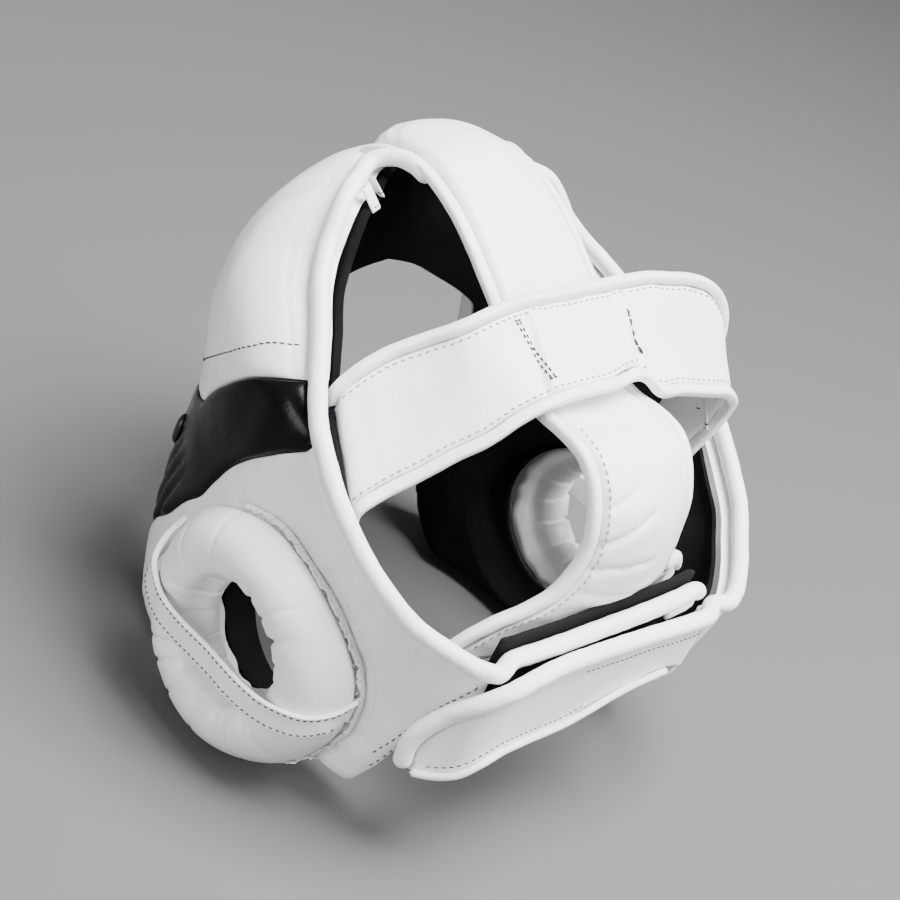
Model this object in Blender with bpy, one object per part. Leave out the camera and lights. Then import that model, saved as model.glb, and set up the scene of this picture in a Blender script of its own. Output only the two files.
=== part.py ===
"""A padded head guard for contact sport, modelled from its real pieces.

The guard faces -Y, the wearer's left is +X and +Z is up.  It rests on the lower
edges of its two cheek panels, and its origin is the bottom centre of its box.
Every padded panel is a patch of one head form: a superellipse in plan, whose
radius shrinks towards the crown and, a little, towards the chin.
"""
import math

import bmesh
import bpy
from mathutils import Vector

MM = 0.001

# Sizes of the head form (outside of the padding)
HALF_WIDTH = 103 * MM
FRONT_REACH = 110 * MM
BACK_REACH = 92 * MM
CENTRE_BACK = 14.4 * MM
GUARD_HEIGHT = 193 * MM
WIDEST_HEIGHT = 82 * MM
DOME_RISE = 142 * MM
FOREHEAD_SWELL = 14 * MM
FOREHEAD_SWELL_START = 85 * MM
FOREHEAD_SWELL_SPAN = 42 * MM
SKIRT_DROP = 270 * MM
PLAN_ROUNDNESS = 2.35
DOME_ROUNDNESS = 3.0

# Padding, lining and gaps
PADDING = 20 * MM
RIM_WALL = 6 * MM
LEAST_WALL = 2 * MM
RIM_TAPER = 34 * MM
RIM_SLOPE_STEP = 4.0
REAR_WALL = 7 * MM
LINING = 1.8 * MM
CLEARANCE = 0.5 * MM
LINING_CLEARANCE = 1.4 * MM
SEAM_CLEARANCE = 0.8 * MM
SEAM_DRAW = 1.6 * MM
HEM_DRAW = 5 * MM

# Edge binding
RIM_BINDING_RADIUS = 3.7 * MM
STRAP_BINDING_RADIUS = 2.2 * MM

# Ear rings and the strips across them
EAR_BACK = 6 * MM
EAR_HEIGHT = 47 * MM
RIGHT_EAR_SHIFT_BACK = -10 * MM
EAR_HOLE_RADIUS = 17 * MM
EAR_NECK_RADIUS = 38 * MM
EAR_RING_RADIUS = 46.3 * MM
EAR_NECK_CLEARANCE = 0.9 * MM
EAR_RING_SEAT = 1.5 * MM
EAR_RING_RISE = 17 * MM
EAR_RING_INNER_RISE = 10 * MM
EAR_STRIP_WIDTH = 10.5 * MM
EAR_STRIP_DROP = 5.5 * MM
EAR_STRIP_THICKNESS = 1.6 * MM
EAR_STRIP_SLOPE = math.radians(-1)

# Straps
CROWN_STRAP_HALF_WIDTH = 25.5 * MM
CROWN_STRAP_THICKNESS = 9 * MM
BAND_THICKNESS = 4 * MM
PAD_THICKNESS = 7 * MM
CLOSURE_THICKNESS = 3.6 * MM
CLOSURE_WIDTH = 44 * MM

# Stud on the black panel
BADGE_LENGTH = 13 * MM
BADGE_WIDTH = 8 * MM
BADGE_RISE = 4 * MM
BADGE_ANGLE = 42.5
BADGE_FACING = math.radians(38)
BADGE_HEIGHT = 66 * MM

# The rim, one row for each place along the left half: angle from the front,
# height as a share of GUARD_HEIGHT, reach as a share of HALF_WIDTH.
RIM = (
    # angle, height, reach
    (0, 0.962, 0.912),
    (15, 0.962, 0.902),
    (24, 0.950, 0.882),
    (30, 0.932, 0.862),
    (37, 0.922, 0.865),
    (42, 0.890, 0.865),
    (46, 0.856, 0.865),
    (52, 0.826, 0.865),
    (63, 0.787, 0.865),
    (72, 0.751, 0.885),
    (80, 0.715, 0.925),
    (87, 0.679, 0.965),
    (93, 0.653, 0.993),
    (100, 0.620, 1.030),
    (104, 0.596, 1.040),
    (110, 0.560, 1.052),
    (117, 0.523, 1.060),
    (123, 0.492, 1.053),
    (130, 0.471, 1.042),
    (137, 0.452, 1.030),
    (140.5, 0.446, 1.013),
)

# The lower edge of the whole wall, as shares of GUARD_HEIGHT.
HEM = (
    # angle, height
    (0, 0.694),
    (11, 0.674),
    (21, 0.642),
    (30, 0.612),
    (34, 0.590),
    (36, 0.518),
    (37.5, 0.404),
    (38.5, 0.285),
    (40, 0.160),
    (43, 0.090),
    (46, 0.052),
    (50, 0.018),
    (54, 0.000),
    (98, 0.000),
    (104, 0.036),
    (108, 0.070),
    (113, 0.096),
    (118, 0.088),
    (124, 0.080),
    (128, 0.130),
    (132, 0.207),
    (140.5, 0.212),
)

# The upper and lower seams of the black temple panel, shares of GUARD_HEIGHT.
TEMPLE_TOP = (
    # angle, height
    (36, 0.440),
    (43, 0.445),
    (51, 0.471),
    (53, 0.497),
    (60, 0.575),
    (68, 0.653),
    (76, 0.705),
    (88, 0.760),
)
TEMPLE_BOTTOM = (
    # angle, height
    (36, 0.100),
    (43, 0.115),
    (48, 0.165),
    (56, 0.238),
    (62, 0.318),
    (66, 0.363),
    (69, 0.425),
    (72, 0.480),
    (82, 0.585),
    (88, 0.637),
    (92, 0.690),
)

WALL_FRONT = 37.5
CHEEK_FRONT = 43
TEMPLE_REAR = 88
FOREHEAD_END = 76
WALL_REAR = 140.5
PANEL_ANGLES = (
    0, 8, 15, 21, 26, 30, 34, 36, 37.5, 38.5, 40, 43, 46, 50, 54, 60, 66, 72, 76,
    82, 88, 94, 100, 104, 108, 113, 118, 124, 128, 132, 140.5,
)
SECTION_SHARES = (0.0, 0.035, 0.11, 0.27, 0.5, 0.73, 0.89, 0.965, 1.0)
LINING_SHARES = (0.0, 0.035, 0.11, 0.27, 0.5, 0.73, 0.89, 1.0)
BAND_SHARES = (0.0, 0.06, 0.5, 0.94, 1.0)


def read_table(table, angle, column=1):
    """Value of a table column at an angle, on a straight line between rows."""
    angle = abs(angle)
    if angle <= table[0][0]:
        return table[0][column]
    for low, high in zip(table, table[1:]):
        if angle <= high[0]:
            share = (angle - low[0]) / (high[0] - low[0])
            return low[column] + (high[column] - low[column]) * share
    return table[-1][column]


def ease(share):
    share = min(1.0, max(0.0, share))
    return share * share * (3 - 2 * share)


def plan_radius(angle, half_width, front, back):
    turn = math.radians(angle)
    across = abs(math.sin(turn)) / half_width
    reach = front if math.cos(turn) > 0 else back
    along = abs(math.cos(turn)) / reach
    total = across ** PLAN_ROUNDNESS + along ** PLAN_ROUNDNESS
    return total ** (-1 / PLAN_ROUNDNESS)


def level_scale(height, depth=0.0):
    """How far the form has shrunk at this height, from 1 at its widest."""
    if height > WIDEST_HEIGHT:
        share = min(0.995, (height - WIDEST_HEIGHT) / (DOME_RISE - depth))
        return (1 - share ** DOME_ROUNDNESS) ** (1 / DOME_ROUNDNESS)
    share = (WIDEST_HEIGHT - height) / SKIRT_DROP
    return math.sqrt(1 - share * share)


def forehead_swell(angle, height):
    """Extra padding of the forehead, which stands out over the cheeks."""
    start = ease((height - FOREHEAD_SWELL_START) / FOREHEAD_SWELL_SPAN)
    fade = 1 - 0.5 * ease((height - FOREHEAD_SWELL_START) / FOREHEAD_SWELL_SPAN - 1.2)
    front = max(0.0, math.cos(math.radians(angle)))
    return FOREHEAD_SWELL * start * fade * front ** 2


def form_radius(angle, height, depth=0.0):
    plan = plan_radius(angle, HALF_WIDTH - depth, FRONT_REACH - depth, BACK_REACH - depth)
    swell = forehead_swell(angle, height) * (1 - depth / PADDING)
    return plan * level_scale(height, depth) + swell


def rim_height(angle):
    return read_table(RIM, angle) * GUARD_HEIGHT


def rim_radius(angle):
    return read_table(RIM, angle, 2) * HALF_WIDTH


def hem_height(angle):
    return read_table(HEM, angle) * GUARD_HEIGHT


def panel_top(angle):
    """Where the padding stops, square to the slope of the rim's binding."""
    run = math.radians(RIM_SLOPE_STEP) * rim_radius(angle)
    here = rim_height(angle)
    before = abs(rim_height(abs(angle) - RIM_SLOPE_STEP) - here) / run
    after = abs(rim_height(abs(angle) + RIM_SLOPE_STEP) - here) / run
    slope = math.hypot(1.0, max(before, after))
    return here - (RIM_BINDING_RADIUS + CLEARANCE) * slope


def outer_radius(angle, height):
    """Outside of the padding, rolled over to meet the rim."""
    top = panel_top(angle)
    excess = form_radius(angle, top) - rim_radius(angle)
    roll_depth = RIM_TAPER if excess < 0 else max(abs(excess) * 1.25, RIM_TAPER * 0.4)
    share = min(1.0, max(0.0, 1 - (top - height) / roll_depth))
    if excess < 0:
        rolled = excess * ease(share)
    else:
        rolled = excess * (1 - math.sqrt(1 - share * share))
    return form_radius(angle, height) - rolled


def wall_thickness(angle):
    rear = ease((abs(angle) - 112) / 24)
    return PADDING + (REAR_WALL - PADDING) * rear


def inner_radius(angle, height):
    """Inside of the padding, which thins towards the rim."""
    thick = wall_thickness(angle)
    top = panel_top(angle)
    deep = form_radius(angle, height, thick)
    near_rim = rim_radius(angle) - RIM_WALL
    pull = near_rim - form_radius(angle, top, thick)
    share = min(1.0, max(0.0, 1 - (top - height) / RIM_TAPER))
    return min(deep + pull * ease(share), outer_radius(angle, height) - 0.6 * RIM_WALL)


def form_point(angle, radius, height):
    turn = math.radians(angle)
    return Vector((radius * math.sin(turn), CENTRE_BACK - radius * math.cos(turn), height))


def new_material(name, colour, roughness, metallic=0.0):
    material = bpy.data.materials.new(name)
    material.use_nodes = True
    shader = material.node_tree.nodes["Principled BSDF"]
    shader.inputs["Base Color"].default_value = (*colour, 1.0)
    shader.inputs["Roughness"].default_value = roughness
    shader.inputs["Metallic"].default_value = metallic
    return material


def object_from_bmesh(name, shape, material, smooth_below=40):
    bmesh.ops.triangulate(shape, faces=shape.faces)
    bmesh.ops.recalc_face_normals(shape, faces=shape.faces)
    mesh = bpy.data.meshes.new(name)
    shape.to_mesh(mesh)
    shape.free()
    mesh.materials.append(material)
    mesh.shade_smooth()
    mesh.set_sharp_from_angle(angle=math.radians(smooth_below))
    piece = bpy.data.objects.new(name, mesh)
    PARTS.objects.link(piece)
    return piece


def loft_solid(name, sections, material, closed=False):
    """A solid through sections, each an outer row and an inner row of points."""
    shape = bmesh.new()
    rings = []
    for outer, inner in sections:
        rings.append([shape.verts.new(point) for point in list(outer) + list(reversed(inner))])
    count = len(rings[0])
    pairs = list(zip(rings, rings[1:]))
    if closed:
        pairs.append((rings[-1], rings[0]))
    for near, far in pairs:
        for i in range(count):
            j = (i + 1) % count
            shape.faces.new((near[i], near[j], far[j], far[i]))
    if not closed:
        for ring in (rings[0], rings[-1]):
            for i in range(count // 2 - 1):
                shape.faces.new((ring[i], ring[i + 1], ring[count - 2 - i], ring[count - 1 - i]))
    return object_from_bmesh(name, shape, material)


def edge_draw(share, low_draw, high_draw):
    """Depth by which a seam or a hem draws the cover in, near a panel's edges."""
    low = low_draw * max(0.0, 1 - share / 0.11) ** 2
    high = high_draw * max(0.0, 1 - (1 - share) / 0.11) ** 2
    return low + high


def panel_solid(name, side, angles, lower, upper, low_draw, high_draw, material):
    """A padded panel of the wall between two height functions of the angle."""
    sections = []
    for angle in angles:
        low, high = lower(angle), upper(angle)
        outer, inner = [], []
        for share in SECTION_SHARES:
            height = low + (high - low) * share
            draw = edge_draw(share, low_draw(angle), high_draw(angle))
            outside = outer_radius(angle, height) - draw
            inside = min(inner_radius(angle, height), outside - LEAST_WALL)
            outer.append(form_point(side * angle, outside, height))
            inner.append(form_point(side * angle, inside, height))
        sections.append((outer, inner))
    return loft_solid(name, sections, material)


def lining_solid(name, angles, material):
    """The thin black inner layer, held just off the padding."""
    sections = []
    for angle in angles:
        low = hem_height(angle) + LINING_CLEARANCE
        high = panel_top(angle)
        outer, inner = [], []
        for share in LINING_SHARES:
            height = low + (high - low) * share
            face = inner_radius(angle, height) - LINING_CLEARANCE
            face = min(face, outer_radius(angle, height) - HEM_DRAW - LEAST_WALL - LINING_CLEARANCE)
            outer.append(form_point(angle, face, height))
            inner.append(form_point(angle, face - LINING, height))
        sections.append((outer, inner))
    return loft_solid(name, sections, material)


def wall_across(back, height):
    """How far from the middle plane the padding's outside lies, beside the ear."""
    near, far = 45.0, 140.0
    for _ in range(40):
        angle = (near + far) / 2
        point = form_point(angle, outer_radius(angle, height), height)
        if point.y < back:
            near = angle
        else:
            far = angle
    return point.x


def ear_centre(side):
    """Back and height of an ear ring's axis: the right one sits a little askew."""
    back, height = EAR_BACK + CENTRE_BACK, EAR_HEIGHT
    if side < 0:
        back += RIGHT_EAR_SHIFT_BACK
    return back, height


def ear_ring_solid(name, side, material):
    """A stuffed ring: a wide lip outside the wall, a neck through it, a lip inside."""
    through = PADDING + LINING
    outside = (
        # reach from the axis, rise from the wall
        (EAR_HOLE_RADIUS, -0.15 * through),
        (EAR_HOLE_RADIUS + 0.08 * EAR_RING_RADIUS, 0.38 * EAR_RING_RISE),
        (EAR_HOLE_RADIUS + 0.15 * EAR_RING_RADIUS, 0.82 * EAR_RING_RISE),
        (0.68 * EAR_RING_RADIUS, EAR_RING_RISE),
        (0.84 * EAR_RING_RADIUS, 0.9 * EAR_RING_RISE),
        (0.95 * EAR_RING_RADIUS, 0.62 * EAR_RING_RISE),
        (EAR_RING_RADIUS, 0.3 * EAR_RING_RISE),
        (0.96 * EAR_RING_RADIUS, EAR_RING_SEAT),
    )
    inside = (
        (EAR_HOLE_RADIUS, -0.5 * through),
        (EAR_HOLE_RADIUS + 0.02 * EAR_RING_RADIUS, -through),
        (EAR_HOLE_RADIUS + 0.10 * EAR_RING_RADIUS, -through - 0.8 * EAR_RING_INNER_RISE),
        ((EAR_HOLE_RADIUS + EAR_NECK_RADIUS) / 2, -through - EAR_RING_INNER_RISE),
        (EAR_NECK_RADIUS, -through - 0.3 * EAR_RING_INNER_RISE),
        (EAR_NECK_RADIUS, -0.7 * through),
        (EAR_NECK_RADIUS, -0.3 * through),
        (EAR_NECK_RADIUS, EAR_RING_SEAT),
    )

    centre_back, centre_height = ear_centre(side)

    def place(reach, rise, turn):
        back = centre_back + reach * math.cos(turn)
        height = centre_height + reach * math.sin(turn)
        return Vector((side * (wall_across(back, height) + rise), back, height))

    steps = 20
    sections = []
    for step in range(steps):
        turn = 2 * math.pi * step / steps
        outer = [place(reach, rise, turn) for reach, rise in outside]
        inner = [place(reach, rise, turn) for reach, rise in inside]
        sections.append((outer, inner))
    return loft_solid(name, sections, material, closed=True)


STRIP_SHARES = (0.0, 0.06, 0.28, 0.5, 0.72, 0.94, 1.0)


def strip_solid(name, rows, material, crown=0.0, shares=BAND_SHARES):
    """A flat strip through rows of (edge, other edge, thickness)."""
    middles = [(one + other) / 2 for one, other, _ in rows]
    form_middle = Vector((0, CENTRE_BACK, WIDEST_HEIGHT))
    sections = []
    for i, (one, other, thick) in enumerate(rows):
        ahead = middles[min(i + 1, len(rows) - 1)] - middles[max(i - 1, 0)]
        normal = (other - one).cross(ahead).normalized()
        if normal.dot(middles[i] - form_middle) < 0:
            normal = -normal
        outer, inner = [], []
        for share in shares:
            base = one.lerp(other, share)
            rise = crown * (1 - (2 * share - 1) ** 2)
            rounding = 0.3 * thick if share in (0.0, 1.0) else 0.0
            outer.append(base + normal * (rise - rounding))
            inner.append(base + normal * (rise - thick + rounding))
        sections.append((outer, inner))
    return loft_solid(name, sections, material)


def tube_solid(name, points, radius, material):
    """A round binding along a line of points."""
    curve = bpy.data.curves.new(name, "CURVE")
    curve.dimensions = "3D"
    curve.bevel_depth = radius
    curve.bevel_resolution = 1
    curve.use_fill_caps = True
    spline = curve.splines.new("POLY")
    spline.points.add(len(points) - 1)
    for slot, point in zip(spline.points, points):
        slot.co = (*point, 1.0)
    curve.materials.append(material)
    piece = bpy.data.objects.new(name, curve)
    PARTS.objects.link(piece)
    return piece


def body_point(across, back, height):
    """A point from shares of the half width, the front reach and the height."""
    return Vector((across * HALF_WIDTH, CENTRE_BACK + back * FRONT_REACH, height * GUARD_HEIGHT))


# The crown strap's top middle line, front to back, as shares of FRONT_REACH and
# GUARD_HEIGHT, with its thickness as a share of CROWN_STRAP_THICKNESS.
CROWN_LINE = (
    # back, height, thickness
    (-0.848, 0.946, 1.10),
    (-0.844, 0.978, 1.15),
    (-0.790, 1.010, 1.15),
    (-0.690, 1.027, 1.10),
    (-0.600, 1.028, 1.00),
    (-0.472, 1.006, 0.90),
    (-0.354, 0.976, 0.85),
    (-0.236, 0.940, 0.80),
    (-0.136, 0.906, 0.75),
    (-0.018, 0.868, 0.60),
    (0.084, 0.836, 0.45),
    (0.148, 0.812, 0.40),
)

# The cross band, left to right: a point of its front edge and one of its rear edge.
BAND_LINE = (
    # front across, back, height, rear across, back, height
    (0.835, -0.150, 0.724, 0.885, 0.160, 0.560),
    (0.777, -0.146, 0.757, 0.782, 0.167, 0.597),
    (0.680, -0.137, 0.795, 0.680, 0.191, 0.637),
    (0.583, -0.100, 0.834, 0.583, 0.218, 0.684),
    (0.485, -0.047, 0.881, 0.485, 0.246, 0.725),
    (0.388, -0.041, 0.904, 0.388, 0.255, 0.767),
    (0.262, -0.055, 0.912, 0.262, 0.273, 0.806),
    (0.000, -0.047, 0.926, 0.000, 0.282, 0.826),
    (-0.262, -0.045, 0.938, -0.262, 0.264, 0.816),
    (-0.388, -0.027, 0.948, -0.388, 0.273, 0.814),
    (-0.485, -0.009, 0.948, -0.485, 0.282, 0.808),
    (-0.583, 0.009, 0.948, -0.583, 0.299, 0.803),
    (-0.680, 0.045, 0.938, -0.680, 0.299, 0.788),
    (-0.765, 0.082, 0.896, -0.765, 0.299, 0.751),
    (-0.805, 0.111, 0.840, -0.805, 0.291, 0.704),
    (-0.800, 0.111, 0.780, -0.800, 0.273, 0.650),
    (-0.780, 0.095, 0.715, -0.780, 0.248, 0.585),
    (-0.765, 0.074, 0.655, -0.765, 0.227, 0.525),
)

# The back pad, top to bottom: half its width, where its side edges run, and how
# far its middle stands out behind them.
PAD_LINE = (
    # half width, back, height, stand-out
    (0.215, 0.080, 0.811, 0.000),
    (0.220, 0.160, 0.788, 0.000),
    (0.225, 0.264, 0.784, 0.010),
    (0.232, 0.348, 0.788, 0.028),
    (0.235, 0.464, 0.776, 0.040),
    (0.235, 0.543, 0.737, 0.050),
    (0.235, 0.599, 0.684, 0.055),
    (0.235, 0.627, 0.611, 0.060),
    (0.265, 0.627, 0.544, 0.062),
    (0.330, 0.608, 0.490, 0.066),
    (0.440, 0.568, 0.455, 0.090),
    (0.540, 0.527, 0.420, 0.110),
)

# The two closure tabs, as seen from above and behind: across and back, with
# their top and bottom edges as shares of CLOSURE_WIDTH from the rear hem.
INNER_TAB_LINE = (
    # across, back, bottom, top
    (0.575, 0.697, 0.050, 0.930),
    (0.535, 0.703, 0.080, 0.940),
    (0.450, 0.704, 0.140, 0.950),
    (0.300, 0.706, 0.200, 0.970),
    (0.100, 0.712, 0.240, 1.030),
    (-0.100, 0.716, 0.280, 1.080),
    (-0.280, 0.716, 0.340, 1.130),
    (-0.400, 0.702, 0.360, 1.120),
    (-0.455, 0.690, 0.450, 1.050),
)
OUTER_FLAP_LINE = (
    (-0.575, 0.698, 0.080, 0.930),
    (-0.535, 0.727, 0.120, 0.940),
    (-0.466, 0.768, 0.200, 0.950),
    (-0.350, 0.775, 0.300, 0.950),
    (-0.155, 0.775, 0.360, 0.950),
    (0.165, 0.778, 0.260, 0.950),
    (0.388, 0.786, 0.240, 0.950),
    (0.510, 0.796, 0.240, 0.930),
    (0.592, 0.802, 0.200, 0.890),
    (0.668, 0.782, 0.080, 0.760),
    (0.722, 0.728, -0.020, 0.550),
    (0.775, 0.681, -0.040, 0.200),
)


def crown_strap_rows():
    rows = []
    for back, height, thick in CROWN_LINE:
        middle = body_point(0, back, height)
        across = Vector((CROWN_STRAP_HALF_WIDTH, 0, 0))
        rows.append((middle - across, middle + across, thick * CROWN_STRAP_THICKNESS))
    return rows


def cross_band_rows():
    rows = []
    for row in BAND_LINE:
        front = body_point(*row[:3])
        rear = body_point(*row[3:])
        inset = (rear - front).normalized() * (2 * STRAP_BINDING_RADIUS)
        rows.append((front + inset, rear - inset, BAND_THICKNESS))
    return rows


def closure_rows(line):
    hem = hem_height(WALL_REAR)
    rows = []
    for across, back, bottom, top in line:
        low = body_point(across, back, 0)
        low.z = hem + bottom * CLOSURE_WIDTH
        high = low.copy()
        high.z = hem + top * CLOSURE_WIDTH
        rows.append((low, high, CLOSURE_THICKNESS))
    return rows


def back_pad_sections():
    """Rows of points across the pad, bowed out behind its two edges."""
    shares = (-1.0, -0.94, -0.66, -0.33, 0.0, 0.33, 0.66, 0.94, 1.0)
    middles = [body_point(0, back + stand, height) for _, back, height, stand in PAD_LINE]
    form_middle = Vector((0, CENTRE_BACK, WIDEST_HEIGHT))
    sections = []
    for i, (half, back, height, stand) in enumerate(PAD_LINE):
        ahead = middles[min(i + 1, len(middles) - 1)] - middles[max(i - 1, 0)]
        normal = Vector((1, 0, 0)).cross(ahead).normalized()
        if normal.dot(middles[i] - form_middle) < 0:
            normal = -normal
        outer, inner = [], []
        for share in shares:
            point = body_point(share * half, back + stand * (1 - share ** 2), height)
            rounding = 0.3 * PAD_THICKNESS if abs(share) == 1.0 else 0.0
            outer.append(point - normal * rounding)
            inner.append(point - normal * (PAD_THICKNESS - rounding))
        sections.append((outer, inner))
    return sections


def beside(points, away_from, distance):
    """Points moved square to their own line, away from matching points."""
    moved = []
    for i, (point, other) in enumerate(zip(points, away_from)):
        ahead = (points[min(i + 1, len(points) - 1)] - points[max(i - 1, 0)]).normalized()
        away = point - other
        away -= ahead * away.dot(ahead)
        moved.append(point + away.normalized() * distance)
    return moved


def rim_points(side, closure, radius):
    """The binding's middle line: along the rim, then along a closure tab's top."""
    points = []
    for angle in RIM_BINDING_ANGLES:
        points.append(form_point(side * angle, rim_radius(angle), rim_height(angle)))
    lows = [low for low, _, _ in closure[1:]]
    highs = [high for _, high, _ in closure[1:]]
    return points + beside(highs, lows, radius + 1.2 * CLEARANCE)


def cut_round_hole(piece, side):
    """Open the wall for the ear ring's neck."""
    back, height = ear_centre(side)
    bpy.ops.mesh.primitive_cylinder_add(
        vertices=24,
        radius=EAR_NECK_RADIUS + EAR_NECK_CLEARANCE,
        depth=4 * PADDING,
        location=(side * 0.85 * HALF_WIDTH, back, height),
        rotation=(0, math.pi / 2, 0),
    )
    cutter = bpy.context.object
    cutter.name = f"ear_cutter_{piece.name}_{'left' if side > 0 else 'right'}"
    for collection in list(cutter.users_collection):
        collection.objects.unlink(cutter)
    CUTTERS.objects.link(cutter)
    cutter.hide_render = True
    cutter.display_type = "WIRE"
    cut = piece.modifiers.new("ear hole", "BOOLEAN")
    cut.operation = "DIFFERENCE"
    cut.solver = "EXACT"
    cut.object = cutter


def clear_scene():
    for thing in list(bpy.data.objects):
        bpy.data.objects.remove(thing, do_unlink=True)


clear_scene()
PARTS = bpy.data.collections.new("head_guard")
CUTTERS = bpy.data.collections.new("cutters")
bpy.context.scene.collection.children.link(PARTS)
bpy.context.scene.collection.children.link(CUTTERS)

WHITE = new_material("white_leather", (0.88, 0.88, 0.88), 0.45)
BLACK = new_material("black_leather", (0.012, 0.012, 0.013), 0.3)
LINING_CLOTH = new_material("lining_cloth", (0.012, 0.012, 0.012), 0.9)
BINDING = new_material("white_binding", (0.85, 0.85, 0.86), 0.5)
BADGE = new_material("black_badge", (0.01, 0.01, 0.01), 0.25)

RIM_BINDING_ANGLES = [angle for angle in PANEL_ANGLES if angle >= 26]


def build_wall():
    seam = lambda angle: SEAM_DRAW
    hem = lambda angle: HEM_DRAW
    rim = lambda angle: 0.0
    half_gap = SEAM_CLEARANCE / 2

    def temple_top(angle):
        return read_table(TEMPLE_TOP, angle) * GUARD_HEIGHT

    def temple_bottom(angle):
        return read_table(TEMPLE_BOTTOM, angle) * GUARD_HEIGHT

    def forehead_low(angle):
        return max(temple_top(angle) + half_gap, hem_height(angle))

    right = [-angle for angle in reversed(PANEL_ANGLES) if 0 < angle <= FOREHEAD_END]
    left = [angle for angle in PANEL_ANGLES if angle <= FOREHEAD_END]
    panel_solid(
        "forehead_panel", 1, right + left, forehead_low, panel_top,
        lambda angle: HEM_DRAW if abs(angle) < 36 else SEAM_DRAW, rim, WHITE,
    )

    temple_angles = [a for a in PANEL_ANGLES if WALL_FRONT <= a <= TEMPLE_REAR]
    side_angles = [a for a in PANEL_ANGLES if a >= CHEEK_FRONT]

    def temple_high(angle):
        return min(temple_top(angle) - half_gap, panel_top(angle))

    def side_high(angle):
        if angle > TEMPLE_REAR:
            return panel_top(angle)
        return temple_bottom(angle) - half_gap

    def temple_low(angle):
        return max(temple_bottom(angle) + half_gap, hem_height(angle))

    for label, side in (("left", 1), ("right", -1)):
        panel_solid(f"temple_panel_{label}", side, temple_angles, temple_low, temple_high,
                    seam, seam, BLACK)
        piece = panel_solid(f"side_panel_{label}", side, side_angles, hem_height, side_high,
                            hem, lambda angle: 0.0 if angle > TEMPLE_REAR else SEAM_DRAW, WHITE)
        cut_round_hole(piece, side)

    right = [-angle for angle in reversed(PANEL_ANGLES) if angle > 0]
    piece = lining_solid("lining", right + list(PANEL_ANGLES), LINING_CLOTH)
    cut_round_hole(piece, 1)
    cut_round_hole(piece, -1)


def build_ears():
    for label, side in (("left", 1), ("right", -1)):
        ear_ring_solid(f"ear_ring_{label}", side, WHITE)
        centre_back, centre_height = ear_centre(side)
        rows = []
        for along, rise in EAR_STRIP_PATH:
            reach = along * EAR_RING_RADIUS
            lift = rise * EAR_RING_RISE
            edges = []
            for half in (-0.5, 0.5):
                back = reach * math.cos(EAR_STRIP_SLOPE)
                back -= half * EAR_STRIP_WIDTH * math.sin(EAR_STRIP_SLOPE)
                height = reach * math.sin(EAR_STRIP_SLOPE)
                height += half * EAR_STRIP_WIDTH * math.cos(EAR_STRIP_SLOPE)
                back += centre_back + EAR_STRIP_DROP * math.sin(EAR_STRIP_SLOPE)
                height += centre_height - EAR_STRIP_DROP * math.cos(EAR_STRIP_SLOPE)
                out = wall_across(centre_back + reach, centre_height) + lift
                edges.append(Vector((side * out, back, height)))
            rows.append((edges[0], edges[1], EAR_STRIP_THICKNESS))
        strip_solid(f"ear_strip_{label}", rows, WHITE)


EAR_STRIP_PATH = (
    # along as a share of EAR_RING_RADIUS, rise as a share of EAR_RING_RISE
    (-1.12, 0.30),
    (-1.06, 0.70),
    (-0.90, 1.07),
    (-0.72, 1.18),
    (0.00, 1.18),
    (0.72, 1.18),
    (0.90, 1.07),
    (1.06, 0.70),
    (1.12, 0.30),
)


def build_badges():
    """A plain oval stud on each black panel, near the face opening."""
    for label, side in (("left", 1), ("right", -1)):
        radius = outer_radius(BADGE_ANGLE, BADGE_HEIGHT)
        seat = form_point(side * BADGE_ANGLE, radius, BADGE_HEIGHT)
        facing = Vector((side * math.sin(BADGE_FACING), -math.cos(BADGE_FACING), 0))
        shape = bmesh.new()
        bmesh.ops.create_uvsphere(shape, u_segments=12, v_segments=6, radius=0.5)
        for vert in shape.verts:
            vert.co.x *= BADGE_WIDTH
            vert.co.y *= BADGE_RISE
            vert.co.z *= BADGE_LENGTH
        stud = object_from_bmesh(f"temple_badge_{label}", shape, BADGE)
        stud.rotation_euler.z = side * BADGE_FACING
        stud.location = seat + facing * (BADGE_RISE / 2 + CLEARANCE)


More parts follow.
